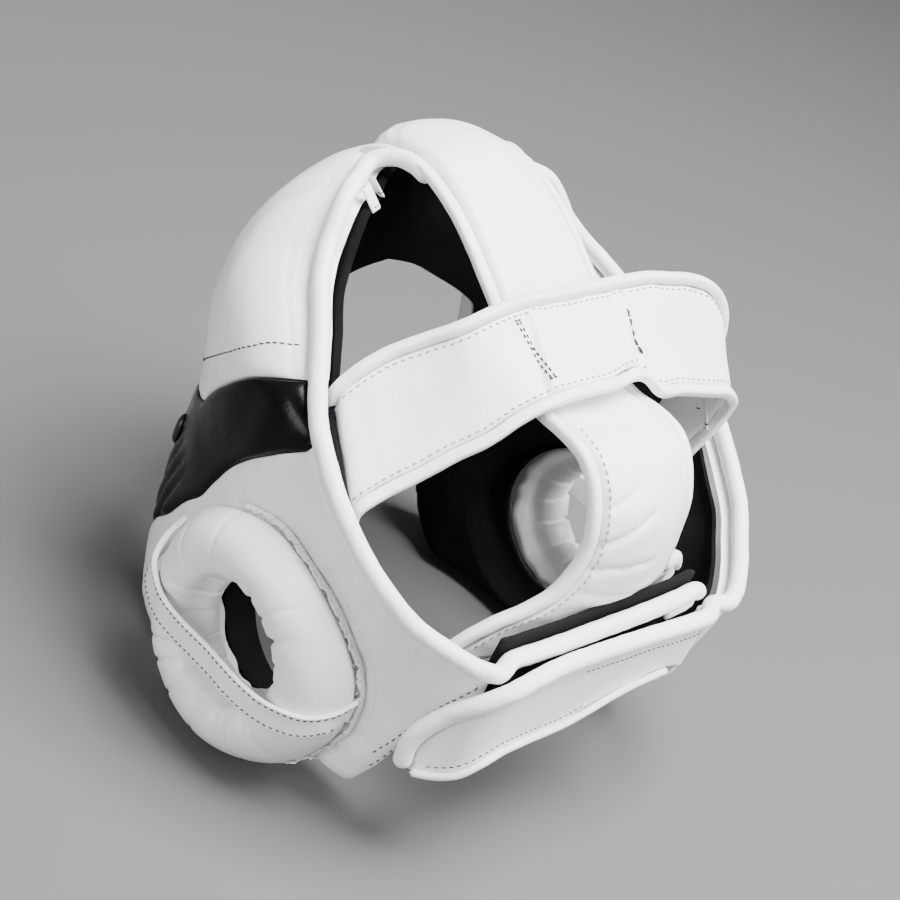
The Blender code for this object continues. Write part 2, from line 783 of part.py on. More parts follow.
def build_straps():
    crown = crown_strap_rows()
    strip_solid("crown_strap", crown, WHITE, 0.35 * CROWN_STRAP_THICKNESS, STRIP_SHARES)
    band = cross_band_rows()
    strip_solid("cross_band", band, WHITE)
    pad = back_pad_sections()
    loft_solid("back_pad", pad, WHITE)
    inner_tab = closure_rows(INNER_TAB_LINE)
    strip_solid("inner_tab", inner_tab, WHITE)
    flap = closure_rows(OUTER_FLAP_LINE)
    strip_solid("outer_flap", flap, WHITE)

    step_out = STRAP_BINDING_RADIUS + CLEARANCE
    drop = Vector((0, 0, -0.35 * CROWN_STRAP_THICKNESS))
    right_edge = [crown[0][0]] + [row[0] + drop for row in crown[1:]]
    left_edge = [crown[0][1]] + [row[1] + drop for row in crown[1:]]
    for label, edge, other in (("left", left_edge, right_edge), ("right", right_edge, left_edge)):
        tube_solid(f"crown_strap_binding_{label}", beside(edge, other, step_out),
                   STRAP_BINDING_RADIUS, BINDING)
    front = [row[0] for row in band]
    rear = [row[1] for row in band]
    tube_solid("cross_band_binding_front", beside(front, rear, step_out),
               STRAP_BINDING_RADIUS, BINDING)
    tube_solid("cross_band_binding_rear", beside(rear, front, step_out),
               STRAP_BINDING_RADIUS, BINDING)
    for label, place, next_place in (("right", 0, 2), ("left", -1, -3)):
        edge = [(outer[place] + inner[place]) / 2 for outer, inner in pad]
        nearby = [(outer[next_place] + inner[next_place]) / 2 for outer, inner in pad]
        tube_solid(f"back_pad_binding_{label}", beside(edge, nearby, 1.25 * step_out),
                   STRAP_BINDING_RADIUS, BINDING)
    tube_solid("rim_binding_left", rim_points(1, inner_tab, RIM_BINDING_RADIUS),
               RIM_BINDING_RADIUS, BINDING)
    tube_solid("rim_binding_right", rim_points(-1, flap, RIM_BINDING_RADIUS),
               RIM_BINDING_RADIUS, BINDING)


build_wall()
build_ears()
build_badges()
build_straps()
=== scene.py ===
# %% [markdown]
# # A padded head guard, piece by piece
# This lesson rebuilds a head guard for contact sport: white stuffed leather panels, a black temple panel, rolled
# piping along the rim, stuffed ear rings, and straps that cross over the crown. The frame is loaded first, and each
# piece below hides the frame's node that it stands in for; nothing has to be fitted by eye.

# %% Load the frame
import math

import bmesh
import bpy
import numpy as np
from mathutils import Matrix, Vector
from mathutils.bvhtree import BVHTree


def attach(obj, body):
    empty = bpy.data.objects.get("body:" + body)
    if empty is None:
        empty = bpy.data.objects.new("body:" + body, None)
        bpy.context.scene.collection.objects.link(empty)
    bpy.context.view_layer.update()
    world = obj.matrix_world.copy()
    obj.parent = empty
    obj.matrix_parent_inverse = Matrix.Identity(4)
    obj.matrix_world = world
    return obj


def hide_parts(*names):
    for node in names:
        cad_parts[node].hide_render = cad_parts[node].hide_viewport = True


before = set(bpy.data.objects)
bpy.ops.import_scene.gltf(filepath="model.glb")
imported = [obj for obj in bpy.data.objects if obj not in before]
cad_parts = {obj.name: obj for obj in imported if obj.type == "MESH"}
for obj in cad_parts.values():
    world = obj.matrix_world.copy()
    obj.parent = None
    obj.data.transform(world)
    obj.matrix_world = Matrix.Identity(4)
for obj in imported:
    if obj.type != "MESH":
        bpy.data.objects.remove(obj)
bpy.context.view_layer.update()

MM = 0.001
SIDES = (("left", 1), ("right", -1))
print("nodes in the frame:", len(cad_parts))

# %% [markdown]
# ## The camera
# The picture is taken from above and behind the wearer's left ear, with the camera rolled by about 26 degrees. The
# three rows are the camera's right, up and backward directions, and the lens is a long one, which keeps the ear ring
# from looking too big.

# %% Camera
CAMERA_PLACE = (0.5978, 0.3949, 0.5157)
CAMERA_RIGHT = (-0.68487, 0.62476, 0.37500)
CAMERA_UP = (-0.13712, -0.61595, 0.77576)
CAMERA_BACK = (0.71565, 0.47987, 0.50752)
CAMERA_LENS, SENSOR_WIDTH = 88.2, 36

camera_data = bpy.data.cameras.new("camera")
camera_data.lens = CAMERA_LENS
camera_data.sensor_width = SENSOR_WIDTH
camera = bpy.data.objects.new("camera", camera_data)
bpy.context.scene.collection.objects.link(camera)
turn = Matrix((CAMERA_RIGHT, CAMERA_UP, CAMERA_BACK)).transposed()
camera.matrix_world = Matrix.Translation(CAMERA_PLACE) @ turn.to_4x4()
bpy.context.scene.camera = camera
print("camera height above the floor, m:", CAMERA_PLACE[2])

# %% [markdown]
# ## The sizes
# The guard is a set of patches of one head form. A form like this is easiest to hold as a few sizes and short
# tables: the rim, the lower edge and the seams are each a row for every few degrees round the head, starting at the
# middle of the forehead. Lengths are in millimetres, and heights in the tables are shares of the guard's height.

# %% Sizes of the head form and of its padding
HALF_WIDTH, FRONT_REACH, BACK_REACH = 103, 110, 92
CENTRE_BACK = 14.4
GUARD_HEIGHT = 193
WIDEST_HEIGHT, DOME_RISE, SKIRT_DROP = 82, 142, 270
PLAN_ROUNDNESS, DOME_ROUNDNESS = 2.35, 3.0
SWELL, SWELL_START, SWELL_SPAN = 14, 85, 42
PADDING, REAR_WALL, RIM_WALL, LEAST_WALL = 20, 7, 6, 2
RIM_TAPER, RIM_SLOPE_STEP = 34, 4.0
LINING, LINING_CLEARANCE, CLEARANCE = 1.8, 1.4, 0.5
RIM_BINDING_RADIUS, STRAP_BINDING_RADIUS = 3.7, 2.2
WALL_FRONT, CHEEK_FRONT, TEMPLE_REAR, FOREHEAD_END, WALL_REAR = 37.5, 43, 88, 76, 140.5
FORM_MIDDLE = np.array((0, CENTRE_BACK, WIDEST_HEIGHT))

RIM = (
    # angle, height, reach
    (0, 0.962, 0.912), (15, 0.962, 0.902), (24, 0.950, 0.882), (30, 0.932, 0.862), (37, 0.922, 0.865),
    (42, 0.890, 0.865), (46, 0.856, 0.865), (52, 0.826, 0.865), (63, 0.787, 0.865), (72, 0.751, 0.885),
    (80, 0.715, 0.925), (87, 0.679, 0.965), (93, 0.653, 0.993), (100, 0.620, 1.030), (104, 0.596, 1.040),
    (110, 0.560, 1.052), (117, 0.523, 1.060), (123, 0.492, 1.053), (130, 0.471, 1.042), (137, 0.452, 1.030),
    (140.5, 0.446, 1.013),
)
HEM = (
    # angle, height
    (0, 0.694), (11, 0.674), (21, 0.642), (30, 0.612), (34, 0.590), (36, 0.518), (37.5, 0.404), (38.5, 0.285),
    (40, 0.160), (43, 0.090), (46, 0.052), (50, 0.018), (54, 0.000), (98, 0.000), (104, 0.036), (108, 0.070),
    (113, 0.096), (118, 0.088), (124, 0.080), (128, 0.130), (132, 0.207), (140.5, 0.212),
)
TEMPLE_TOP = (
    # angle, height
    (36, 0.440), (43, 0.445), (51, 0.471), (53, 0.497), (60, 0.575), (68, 0.653), (76, 0.705), (88, 0.760),
)
TEMPLE_BOTTOM = (
    # angle, height
    (36, 0.100), (43, 0.115), (48, 0.165), (56, 0.238), (62, 0.318), (66, 0.363), (69, 0.425), (72, 0.480),
    (82, 0.585), (88, 0.637), (92, 0.690),
)

# %% [markdown]
# ## Reading the tables
# Leather pulled over foam bends smoothly, so a straight line between two rows would show as a kink. This curve
# passes through every row, and its slope at a row never makes it swing past its neighbours.

# %% A smooth reading of a table
def smooth(table, column=1):
    rows = np.array(table, float)
    place, value = rows[:, 0], rows[:, column]
    step = np.diff(place)
    slope = np.diff(value) / step
    bend = np.zeros(len(value))
    agree = slope[:-1] * slope[1:] > 0
    before, after = 2 * step[1:] + step[:-1], step[1:] + 2 * step[:-1]
    with np.errstate(divide="ignore", invalid="ignore"):
        middle = (before + after) / (before / slope[:-1] + after / slope[1:])
    bend[1:-1] = np.where(agree, middle, 0)
    bend[0], bend[-1] = slope[0], slope[-1]

    def read(at):
        at = np.clip(np.abs(at), place[0], place[-1])
        i = np.clip(np.searchsorted(place, at) - 1, 0, len(step) - 1)
        t = (at - place[i]) / step[i]
        start = value[i] * (1 + 2 * t) * (1 - t) ** 2 + step[i] * bend[i] * t * (1 - t) ** 2
        end = value[i + 1] * t * t * (3 - 2 * t) + step[i] * bend[i + 1] * t * t * (t - 1)
        return start + end

    return read


def ease(share):
    share = np.clip(share, 0, 1)
    return share * share * (3 - 2 * share)


rim_share, rim_reach, hem_share = smooth(RIM), smooth(RIM, 2), smooth(HEM)
top_share, bottom_share = smooth(TEMPLE_TOP), smooth(TEMPLE_BOTTOM)


def rim_height(angle):
    return rim_share(angle) * GUARD_HEIGHT


def rim_radius(angle):
    return rim_reach(angle) * HALF_WIDTH


def hem_height(angle):
    return hem_share(angle) * GUARD_HEIGHT


def temple_top(angle):
    return top_share(angle) * GUARD_HEIGHT


def temple_bottom(angle):
    return bottom_share(angle) * GUARD_HEIGHT


print("rim height at the ear, mm:", round(float(rim_height(90)), 1))

# %% [markdown]
# ## The head form
# From above, a head is rounder than a box and squarer than an ellipse, so the plan is a superellipse. From the side
# it narrows towards the crown. The forehead cushion stands out over the cheeks, and the outside of the padding rolls
# over to meet the rim's piping.

# %% The outside and the inside of the padding
def plan_radius(angle, half_width, front, back):
    turn = np.radians(angle)
    reach = np.where(np.cos(turn) > 0, front, back)
    total = (np.abs(np.sin(turn)) / half_width) ** PLAN_ROUNDNESS + (np.abs(np.cos(turn)) / reach) ** PLAN_ROUNDNESS
    return total ** (-1 / PLAN_ROUNDNESS)


def level_scale(height, depth=0.0):
    up = np.clip((height - WIDEST_HEIGHT) / (DOME_RISE - depth), 0, 0.995)
    down = np.clip((WIDEST_HEIGHT - height) / SKIRT_DROP, 0, 1)
    above = (1 - up ** DOME_ROUNDNESS) ** (1 / DOME_ROUNDNESS)
    return np.where(height > WIDEST_HEIGHT, above, np.sqrt(1 - down ** 2))


def form_radius(angle, height, depth=0.0):
    plan = plan_radius(angle, HALF_WIDTH - depth, FRONT_REACH - depth, BACK_REACH - depth)
    climb = (height - SWELL_START) / SWELL_SPAN
    swell = SWELL * ease(climb) * (1 - 0.5 * ease(climb - 1.2)) * np.maximum(0, np.cos(np.radians(angle))) ** 2
    return plan * level_scale(height, depth) + swell * (1 - depth / PADDING)


def panel_top(angle):
    angle = np.abs(angle)
    run = math.radians(RIM_SLOPE_STEP) * rim_radius(angle)
    before = np.abs(rim_height(angle - RIM_SLOPE_STEP) - rim_height(angle)) / run
    after = np.abs(rim_height(angle + RIM_SLOPE_STEP) - rim_height(angle)) / run
    return rim_height(angle) - (RIM_BINDING_RADIUS + CLEARANCE) * np.hypot(1, np.maximum(before, after))


def outer_radius(angle, height):
    top = panel_top(angle)
    excess = form_radius(angle, top) - rim_radius(angle)
    roll = np.where(excess < 0, RIM_TAPER, np.maximum(np.abs(excess) * 1.25, RIM_TAPER * 0.4))
    share = np.clip(1 - (top - height) / roll, 0, 1)
    rolled = np.where(excess < 0, excess * ease(share), excess * (1 - np.sqrt(1 - share ** 2)))
    return form_radius(angle, height) - rolled


def inner_radius(angle, height):
    thick = PADDING + (REAR_WALL - PADDING) * ease((np.abs(angle) - 112) / 24)
    top = panel_top(angle)
    pull = rim_radius(angle) - RIM_WALL - form_radius(angle, top, thick)
    share = np.clip(1 - (top - height) / RIM_TAPER, 0, 1)
    inside = form_radius(angle, height, thick) + pull * ease(share)
    return np.minimum(inside, outer_radius(angle, height) - 0.6 * RIM_WALL)


def form_point(angle, radius, height):
    turn = np.radians(angle)
    across = radius * np.sin(turn)
    back = CENTRE_BACK - radius * np.cos(turn)
    return np.stack(np.broadcast_arrays(across, back, np.asarray(height, float)), -1)


def body_point(across, back, height):
    return np.array((across * HALF_WIDTH, CENTRE_BACK + back * FRONT_REACH, height * GUARD_HEIGHT))


print("outside of the padding over the ear, mm:", round(float(outer_radius(90, 100)), 1))

# %% [markdown]
# ## Finishes
# The white parts are coated leather: nearly white, satin, with a fine grain and slow, faint unevenness where the
# foam under it varies. The black panel is the same material, but glossier. Each finish is a node material: colour
# and roughness vary with noise, and the grain is a bump of small cells. The pattern takes its place from the
# piece's own coordinates, so it has the same scale on every piece.

# %% Helpers for node materials
def new_finish(name, colour, roughness, **shader_values):
    finish = bpy.data.materials.new(name)
    finish.use_nodes = True
    shader = finish.node_tree.nodes["Principled BSDF"]
    shader.inputs["Base Color"].default_value = (*colour, 1)
    shader.inputs["Roughness"].default_value = roughness
    for socket, value in shader_values.items():
        shader.inputs[socket.replace("_", " ")].default_value = value
    return finish


def add_node(finish, kind, **settings):
    node = finish.node_tree.nodes.new(kind)
    for name, value in settings.items():
        if name in node.inputs:
            node.inputs[name].default_value = value
        else:
            setattr(node, name, value)
    return node


def pattern(finish, kind, scale, **settings):
    """A pattern node that reads the piece's own coordinates, in cells per metre."""
    place = add_node(finish, "ShaderNodeTexCoord")
    node = add_node(finish, kind, Scale=scale, **settings)
    finish.node_tree.links.new(place.outputs["Object"], node.inputs["Vector"])
    return node


def spread_roughness(finish, source, low, high):
    """Turn the middle of a pattern's values into a range of roughness."""
    link = finish.node_tree.links.new
    ramp = add_node(finish, "ShaderNodeMapRange", **{"From Min": 0.35, "From Max": 0.65, "To Min": low, "To Max": high})
    link(source, ramp.inputs["Value"])
    link(ramp.outputs["Result"], finish.node_tree.nodes["Principled BSDF"].inputs["Roughness"])


def tint(finish, source, dark, light):
    """Mix two colours by a pattern's value."""
    link = finish.node_tree.links.new
    ramp = add_node(finish, "ShaderNodeValToRGB")
    ramp.color_ramp.elements[0].color = (*dark, 1)
    ramp.color_ramp.elements[1].color = (*light, 1)
    ramp.color_ramp.elements[0].position = 0.3
    ramp.color_ramp.elements[1].position = 0.7
    link(source, ramp.inputs["Fac"])
    link(ramp.outputs["Color"], finish.node_tree.nodes["Principled BSDF"].inputs["Base Color"])


def bumps(finish, *layers):
    """Stack bump layers, each a pattern output, its depth in mm and its strength."""
    link = finish.node_tree.links.new
    below = None
    for source, depth, strength in layers:
        bump = add_node(finish, "ShaderNodeBump", Strength=strength, Distance=depth * MM)
        link(source, bump.inputs["Height"])
        if below is not None:
            link(below.outputs["Normal"], bump.inputs["Normal"])
        below = bump
    link(below.outputs["Normal"], finish.node_tree.nodes["Principled BSDF"].inputs["Normal"])


# %% The leathers, the cloths and the threads
def leather(name, dark, light, rough, grain, **shader_values):
    finish = new_finish(name, light, rough, **shader_values)
    slow = pattern(finish, "ShaderNodeTexNoise", 28, Detail=3.0)
    cells = pattern(finish, "ShaderNodeTexVoronoi", 1050, feature="SMOOTH_F1")
    pores = pattern(finish, "ShaderNodeTexNoise", 2600, Detail=2.0)
    drape = pattern(finish, "ShaderNodeTexNoise", 130, Detail=4.0)
    tint(finish, slow.outputs["Fac"], dark, light)
    spread_roughness(finish, drape.outputs["Fac"], rough - 0.05, rough + 0.07)
    bumps(finish, (drape.outputs["Fac"], 0.5, 0.35), (cells.outputs["Distance"], 0.12, grain),
          (pores.outputs["Fac"], 0.04, grain))
    return finish


WHITE_LEATHER = leather("white_leather_grain", (0.83, 0.83, 0.835), (0.90, 0.90, 0.905), 0.42, 0.5,
                        Coat_Weight=0.10, Coat_Roughness=0.35)
BLACK_LEATHER = leather("black_leather_grain", (0.002, 0.002, 0.002), (0.004, 0.004, 0.004), 0.25, 0.25,
                        Specular_IOR_Level=0.12)
WHITE_TAPE = leather("white_binding_tape", (0.80, 0.80, 0.82), (0.87, 0.87, 0.885), 0.46, 0.25)

LINING_CLOTH = new_finish("lining_cloth_weave", (0.003, 0.003, 0.003), 0.9, Specular_IOR_Level=0.12)
warp = pattern(LINING_CLOTH, "ShaderNodeTexWave", 900, bands_direction="Z", Distortion=0.6)
weft = pattern(LINING_CLOTH, "ShaderNodeTexWave", 900, bands_direction="X", Distortion=0.6)
worn = pattern(LINING_CLOTH, "ShaderNodeTexNoise", 40, Detail=4.0)
tint(LINING_CLOTH, worn.outputs["Fac"], (0.0015, 0.0015, 0.0015), (0.0045, 0.0045, 0.005))
bumps(LINING_CLOTH, (worn.outputs["Fac"], 1.2, 0.5), (warp.outputs["Fac"], 0.15, 0.5), (weft.outputs["Fac"], 0.15, 0.5))

HOOK_CLOTH = new_finish("hook_and_loop_pile", (0.004, 0.004, 0.004), 0.95, Specular_IOR_Level=0.15)
pile = pattern(HOOK_CLOTH, "ShaderNodeTexNoise", 2200, Detail=6.0)
tint(HOOK_CLOTH, pile.outputs["Fac"], (0.001, 0.001, 0.001), (0.012, 0.012, 0.013))
bumps(HOOK_CLOTH, (pile.outputs["Fac"], 0.6, 0.9))


def thread(name, colour):
    finish = new_finish(name, colour, 0.6)
    twist = pattern(finish, "ShaderNodeTexWave", 2400, Distortion=1.5)
    tint(finish, twist.outputs["Fac"], tuple(0.6 * c for c in colour), colour)
    bumps(finish, (twist.outputs["Fac"], 0.08, 0.6))
    return finish


BLACK_THREAD = thread("black_thread", (0.004, 0.004, 0.004))
GREY_THREAD = thread("dark_grey_thread", (0.02, 0.02, 0.022))
PALE_THREAD = thread("pale_thread", (0.36, 0.36, 0.45))
WHITE_THREAD = thread("white_thread", (0.82, 0.82, 0.82))

STUD_BLACK = new_finish("moulded_black", (0.01, 0.01, 0.01), 0.28)
moulding = pattern(STUD_BLACK, "ShaderNodeTexNoise", 900, Detail=3.0)
spread_roughness(STUD_BLACK, moulding.outputs["Fac"], 0.22, 0.36)
bumps(STUD_BLACK, (moulding.outputs["Fac"], 0.1, 0.3))

# %% [markdown]
# ## From points to pieces
# Every soft piece here is a skin: a grid of points on its outside and a matching grid on its inside, joined round
# their edges. Grids are quick to work out for a whole piece at once, and a seam, a pucker or a rib is then only a
# small push in or out of each point. A grid can also leave out the squares inside the round hole for an ear.

# %% Making a piece of a grid
surfaces = {}
SHARP_ABOVE = math.radians(50)


def make_piece(name, points, faces, finish, node=None):
    mesh = bpy.data.meshes.new(name)
    mesh.from_pydata((np.asarray(points) * MM).tolist(), [], faces)
    shape = bmesh.new()
    shape.from_mesh(mesh)
    bmesh.ops.recalc_face_normals(shape, faces=shape.faces)
    shape.to_mesh(mesh)
    surfaces[name] = BVHTree.FromBMesh(shape)
    shape.free()
    mesh.materials.append(finish)
    mesh.shade_smooth()
    mesh.set_sharp_from_angle(angle=SHARP_ABOVE)
    piece = bpy.data.objects.new(name, mesh)
    bpy.context.scene.collection.objects.link(piece)
    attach(piece, "root")
    if node:
        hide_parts(node)
    return piece


HOLE_CROWDING = 0.1


def skin(name, outer, inner, finish, node=None, holes=()):
    """A solid between two grids of points, with its edges joined and round holes (side, back, height, radius)."""
    rows, columns = outer.shape[:2]
    number = np.arange(rows * columns).reshape(rows, columns)
    quads = np.stack([number[:-1, :-1], number[1:, :-1], number[1:, 1:], number[:-1, 1:]], -1).reshape(-1, 4)
    for side, back, height, radius in holes:
        flat = outer.reshape(-1, 3)
        from_axis = np.hypot(flat[:, 1] - back, flat[:, 2] - height)
        inside = (from_axis < radius) & (flat[:, 0] * side > 0)
        quads = quads[~inside[quads].all(axis=1)]
        used = np.zeros(rows * columns, bool)
        used[quads.ravel()] = True
        for grid in (outer, inner):
            flat = grid.reshape(-1, 3)
            away = np.hypot(flat[:, 1] - back, flat[:, 2] - height)
            move = used & (flat[:, 0] * side > 0) & (away < radius)
            wanted = radius + HOLE_CROWDING * np.maximum(0, from_axis[move] - radius)
            flat[move, 1] = back + (flat[move, 1] - back) * wanted / away[move]
            flat[move, 2] = height + (flat[move, 2] - height) * wanted / away[move]
    edges = np.concatenate([quads[:, [i, (i + 1) % 4]] for i in range(4)])
    pairs = {tuple(edge) for edge in edges.tolist()}
    border = [(a, b) for a, b in pairs if (b, a) not in pairs]
    shift = rows * columns
    faces = quads.tolist() + (quads[:, ::-1] + shift).tolist()
    faces += [[b, a, a + shift, b + shift] for a, b in sorted(border)]
    points = np.concatenate([outer.reshape(-1, 3), inner.reshape(-1, 3)])
    keep = np.zeros(len(points), bool)
    keep[np.unique(np.concatenate([np.array(face) for face in (quads, quads + shift)]))] = True
    renumber = np.cumsum(keep) - 1
    faces = [[int(renumber[i]) for i in face] for face in faces]
    return make_piece(name, points[keep], faces, finish, node)


def edge_fall(distance, depth, reach):
    """How far a rounded edge drops, at a distance from it."""
    near = np.clip(1 - distance / reach, 0, 1)
    return depth * (1 - np.sqrt(1 - near ** 2))


def ripple(*phases):
    """Uneven waves between about -1 and 1, the same on every run."""
    total = 0
    for k, (speed, weight) in enumerate(((1.0, 0.42), (1.73, 0.28), (2.61, 0.18), (4.17, 0.12))):
        total = total + weight * np.sin(sum(speed * p * (1 + 0.13 * j) for j, p in enumerate(phases)) + 1.7 * k)
    return total


# %% [markdown]
# ## Thread
# A stitch is a short bead of thread that dips into the leather at both ends. A line of stitching is laid out by
# walking along a line at the stitch's pitch, and each one is pressed on to the real surface under it, so it follows
# every pucker. Stitches on one seam are joined into one piece. A stitch is a small closed tube, and the same faces
# between rings of points serve the bindings and the ear rings later on.

# %% Tubes, and stitches along a line
def tube_faces(number, ends=True):
    """Faces between rings of numbered points, each ring closed on itself, with a cap on both ends."""
    after = np.roll(number, -1, 1)
    faces = np.stack([number[:-1], number[1:], after[1:], after[:-1]], -1).reshape(-1, 4).tolist()
    return faces + [number[0].tolist(), number[-1, ::-1].tolist()] if ends else faces


def stations(points):
    """The distance along a line of points, at each of them."""
    return np.concatenate([[0], np.cumsum(np.linalg.norm(np.diff(points, axis=0), axis=1))])


LOOK_ALONG = 0.2


def walk(line, pitch):
    """Even places along a line of points, with the line's direction at each."""
    line = np.asarray(line, float)
    run = stations(line)
    at = np.arange(pitch / 2, run[-1], pitch)
    places = np.stack([np.interp(at, run, line[:, k]) for k in range(3)], -1)
    ahead, behind = (np.stack([np.interp(at + look, run, line[:, k]) for k in range(3)], -1)
                     for look in (LOOK_ALONG, -LOOK_ALONG))
    way = ahead - behind
    return places, way / np.linalg.norm(way, axis=1, keepdims=True)


PRESS_REACH = 14


def press_on(name, places, outward):
    """Drop points on to a piece from outside; points that miss are left out."""
    tree = surfaces[name]
    found, normals, hits = [], [], []
    for place, out in zip(places, outward):
        out = Vector(out).normalized()
        spot, normal, _, _ = tree.ray_cast((Vector(place) + out * PRESS_REACH) * MM, -out, 2 * PRESS_REACH * MM)
        hits.append(spot is not None)
        if spot is not None:
            found.append(np.array(spot) / MM)
            normals.append(np.array(normal))
    return np.array(found), np.array(normals), np.array(hits, bool)


BEAD = (
    # along (shares of the stitch's length), size (shares of the thread's radius)
    (-0.5, 0.3), (-0.36, 0.85), (0.0, 1.0), (0.36, 0.85), (0.5, 0.3),
)
BEAD_SIDES, BEAD_LIFT, BEAD_DIP, BEAD_UNEVEN = 6, 0.6, 1.3, 0.12


def beads(name, places, ways, normals, length, radius, finish):
    """Short beads of thread, one for each place."""
    turn = np.arange(BEAD_SIDES) * 2 * np.pi / BEAD_SIDES
    jitter = BEAD_UNEVEN * np.sin(np.arange(len(places)) * 12.9898)
    ways = ways - normals * (ways * normals).sum(1, keepdims=True)
    ways /= np.linalg.norm(ways, axis=1, keepdims=True)
    beside = np.cross(normals, ways)
    ways = ways + beside * jitter[:, None]
    rings = []
    for along, size in BEAD:
        sink = radius * (BEAD_LIFT - BEAD_DIP * abs(2 * along) ** 3)
        centre = places + ways * (along * length) + normals * sink
        ring = (centre[:, None] + beside[:, None] * (radius * size * np.cos(turn))[None, :, None]
                + normals[:, None] * (radius * size * np.sin(turn))[None, :, None])
        rings.append(ring)
    points = np.stack(rings, 1)
    number = np.arange(points[..., 0].size).reshape(points.shape[:3])
    faces = [face for one in number for face in tube_faces(one)]
    return make_piece(name, points.reshape(-1, 3), faces, finish)


def stitch(name, host, line, finish, length=1.9, gap=1.1, radius=0.3, outward=None):
    """A line of stitches pressed on to a piece."""
    places, ways = walk(line, length + gap)
    if outward is None:
        outward = places - FORM_MIDDLE
    else:
        outward = np.broadcast_to(outward, places.shape)
    spots, normals, hits = press_on(host, places, outward)
    return beads(name, spots, ways[hits], normals, length, radius, finish)


# %% [markdown]
# ## The stuffed panels of the wall
# Each panel of the wall is cut leather sewn over foam. Its middle follows the head form, and its edges drop into the
# seams, so two panels meet in a valley. Near a seam the thread gathers the leather a little, which shows as small
# puckers. The panel is worked out as close columns of points that stand side by side round the head.

# %% A panel of the wall
COLUMN_STEP, ROW_STEP = 0.6, 1.15
GATHER_REACH, GATHER_START, HEM_DEEP = 5, 1.2, 2
RIM_SEAM_INSET, RIM_SEAM_WIDTH, RIM_SEAM_DEPTH = 2.6, 0.55, 0.55
EARS = {
    # side: (side, back, height, radius of the hole in the panel)
    1: (1, 20.4, 47.0, 38.9),
    -1: (-1, 7.4, 47.0, 38.9),
}


def spacing(count):
    """Shares from 0 to 1, closer together at both ends."""
    t = np.linspace(0, 1, count)
    return 0.45 * t + 0.55 * (0.5 - 0.5 * np.cos(np.pi * t))


def wall_panel(name, side, start, stop, lower, upper, finish, low_edge, high_edge, relief, ends=(0, 0), hole=None,
               puckering=0.4, rim_seam=None):
    """low_edge and high_edge are (depth, reach) of the drop into the seam or hem, and rim_seam is the stretch of
    angles whose stitched groove runs beside the rim."""
    angles = np.linspace(start, stop, int(abs(stop - start) / COLUMN_STEP) + 1)[:, None]
    low, high = lower(angles), upper(angles)
    tall = float(np.max(high - low))
    heights = low + (high - low) * spacing(int(tall / ROW_STEP) + 12)[None, :]
    radius = outer_radius(angles, heights)
    run = np.radians(np.gradient(angles[:, 0])) * radius[:, 0]
    low_slope = (np.gradient(low[:, 0]) / run)[:, None]
    high_slope = (np.gradient(high[:, 0]) / run)[:, None]
    to_low = (heights - low) / np.hypot(1, low_slope)
    to_high = (high - heights) / np.hypot(1, high_slope)
    around = np.radians(angles) * HALF_WIDTH
    drop = edge_fall(to_low, *low_edge) + edge_fall(to_high, *high_edge)
    for end, depth in zip((angles[0], angles[-1]), ends):
        if depth:
            drop = drop + edge_fall(np.radians(np.abs(angles - end)) * radius, depth, HEM_DEEP * depth)
    gather = 0.0
    for distance, edge in ((to_low, low_edge), (to_high, high_edge)):
        if edge[0]:
            gather = gather + np.exp(-distance / GATHER_REACH) * (1 - np.exp(-distance / GATHER_START))
    puckers = puckering * gather * ripple(around / 1.5, heights / 9)
    uneven = 0.35 * ripple(around / 19, heights / 15)
    outside = radius - drop + puckers + uneven * ease(np.minimum(to_low, to_high) / 12)
    outside = outside + relief(angles, heights)
    if rim_seam:
        beside_rim = (np.abs(angles) > rim_seam[0]) & (np.abs(angles) < rim_seam[1])
        groove = np.exp(-((to_high - RIM_SEAM_INSET) / RIM_SEAM_WIDTH) ** 2)
        outside = outside - beside_rim * RIM_SEAM_DEPTH * groove
    inside = np.minimum(inner_radius(angles, heights), outside - LEAST_WALL)
    outer = form_point(side * angles, outside, heights)
    inner = form_point(side * angles, inside, heights)
    piece = skin(name, outer, inner, finish, name, [hole] if hole else ())
    return piece


# %% [markdown]
# ### Forehead, temples and sides
# The forehead cushion is one piece from temple to temple. Under it the black leather was pulled round the curve of
# the temple, and folds into a few upright ribs at the front. The white side panel carries the ear's hole, and a short
# crease runs up from behind the ear to the rim.

# %% The five panels
HEM_EDGE, SEAM_EDGE, PLAIN_EDGE = (5, 7), (1.8, 4), (0, 1)
HALF_SEAM = 0.3


def forehead_low(angle):
    return np.maximum(temple_top(angle) + HALF_SEAM, hem_height(angle))


def forehead_relief(angle, height):
    return 0.45 * ripple(angle / 9, height / 21)


def temple_relief(angle, height):
    """Ribs at the front of the black panel, and its soft middle."""
    phase = (angle - 0.28 * (height - 60)) / 4.3
    wave = np.abs(np.sin(np.pi * phase)) - 0.55
    here = ease((60 - angle) / 9) * ease((angle - 38) / 3) * ease((76 - height) / 16) * ease((height - 20) / 8)
    swell = 1.7 * np.exp(-((angle - 77) / 5) ** 2) - 0.8 * np.exp(-((angle - 85) / 3.5) ** 2)
    return 1.6 * wave * here + swell + 0.25 * ripple(angle / 12, height / 23)


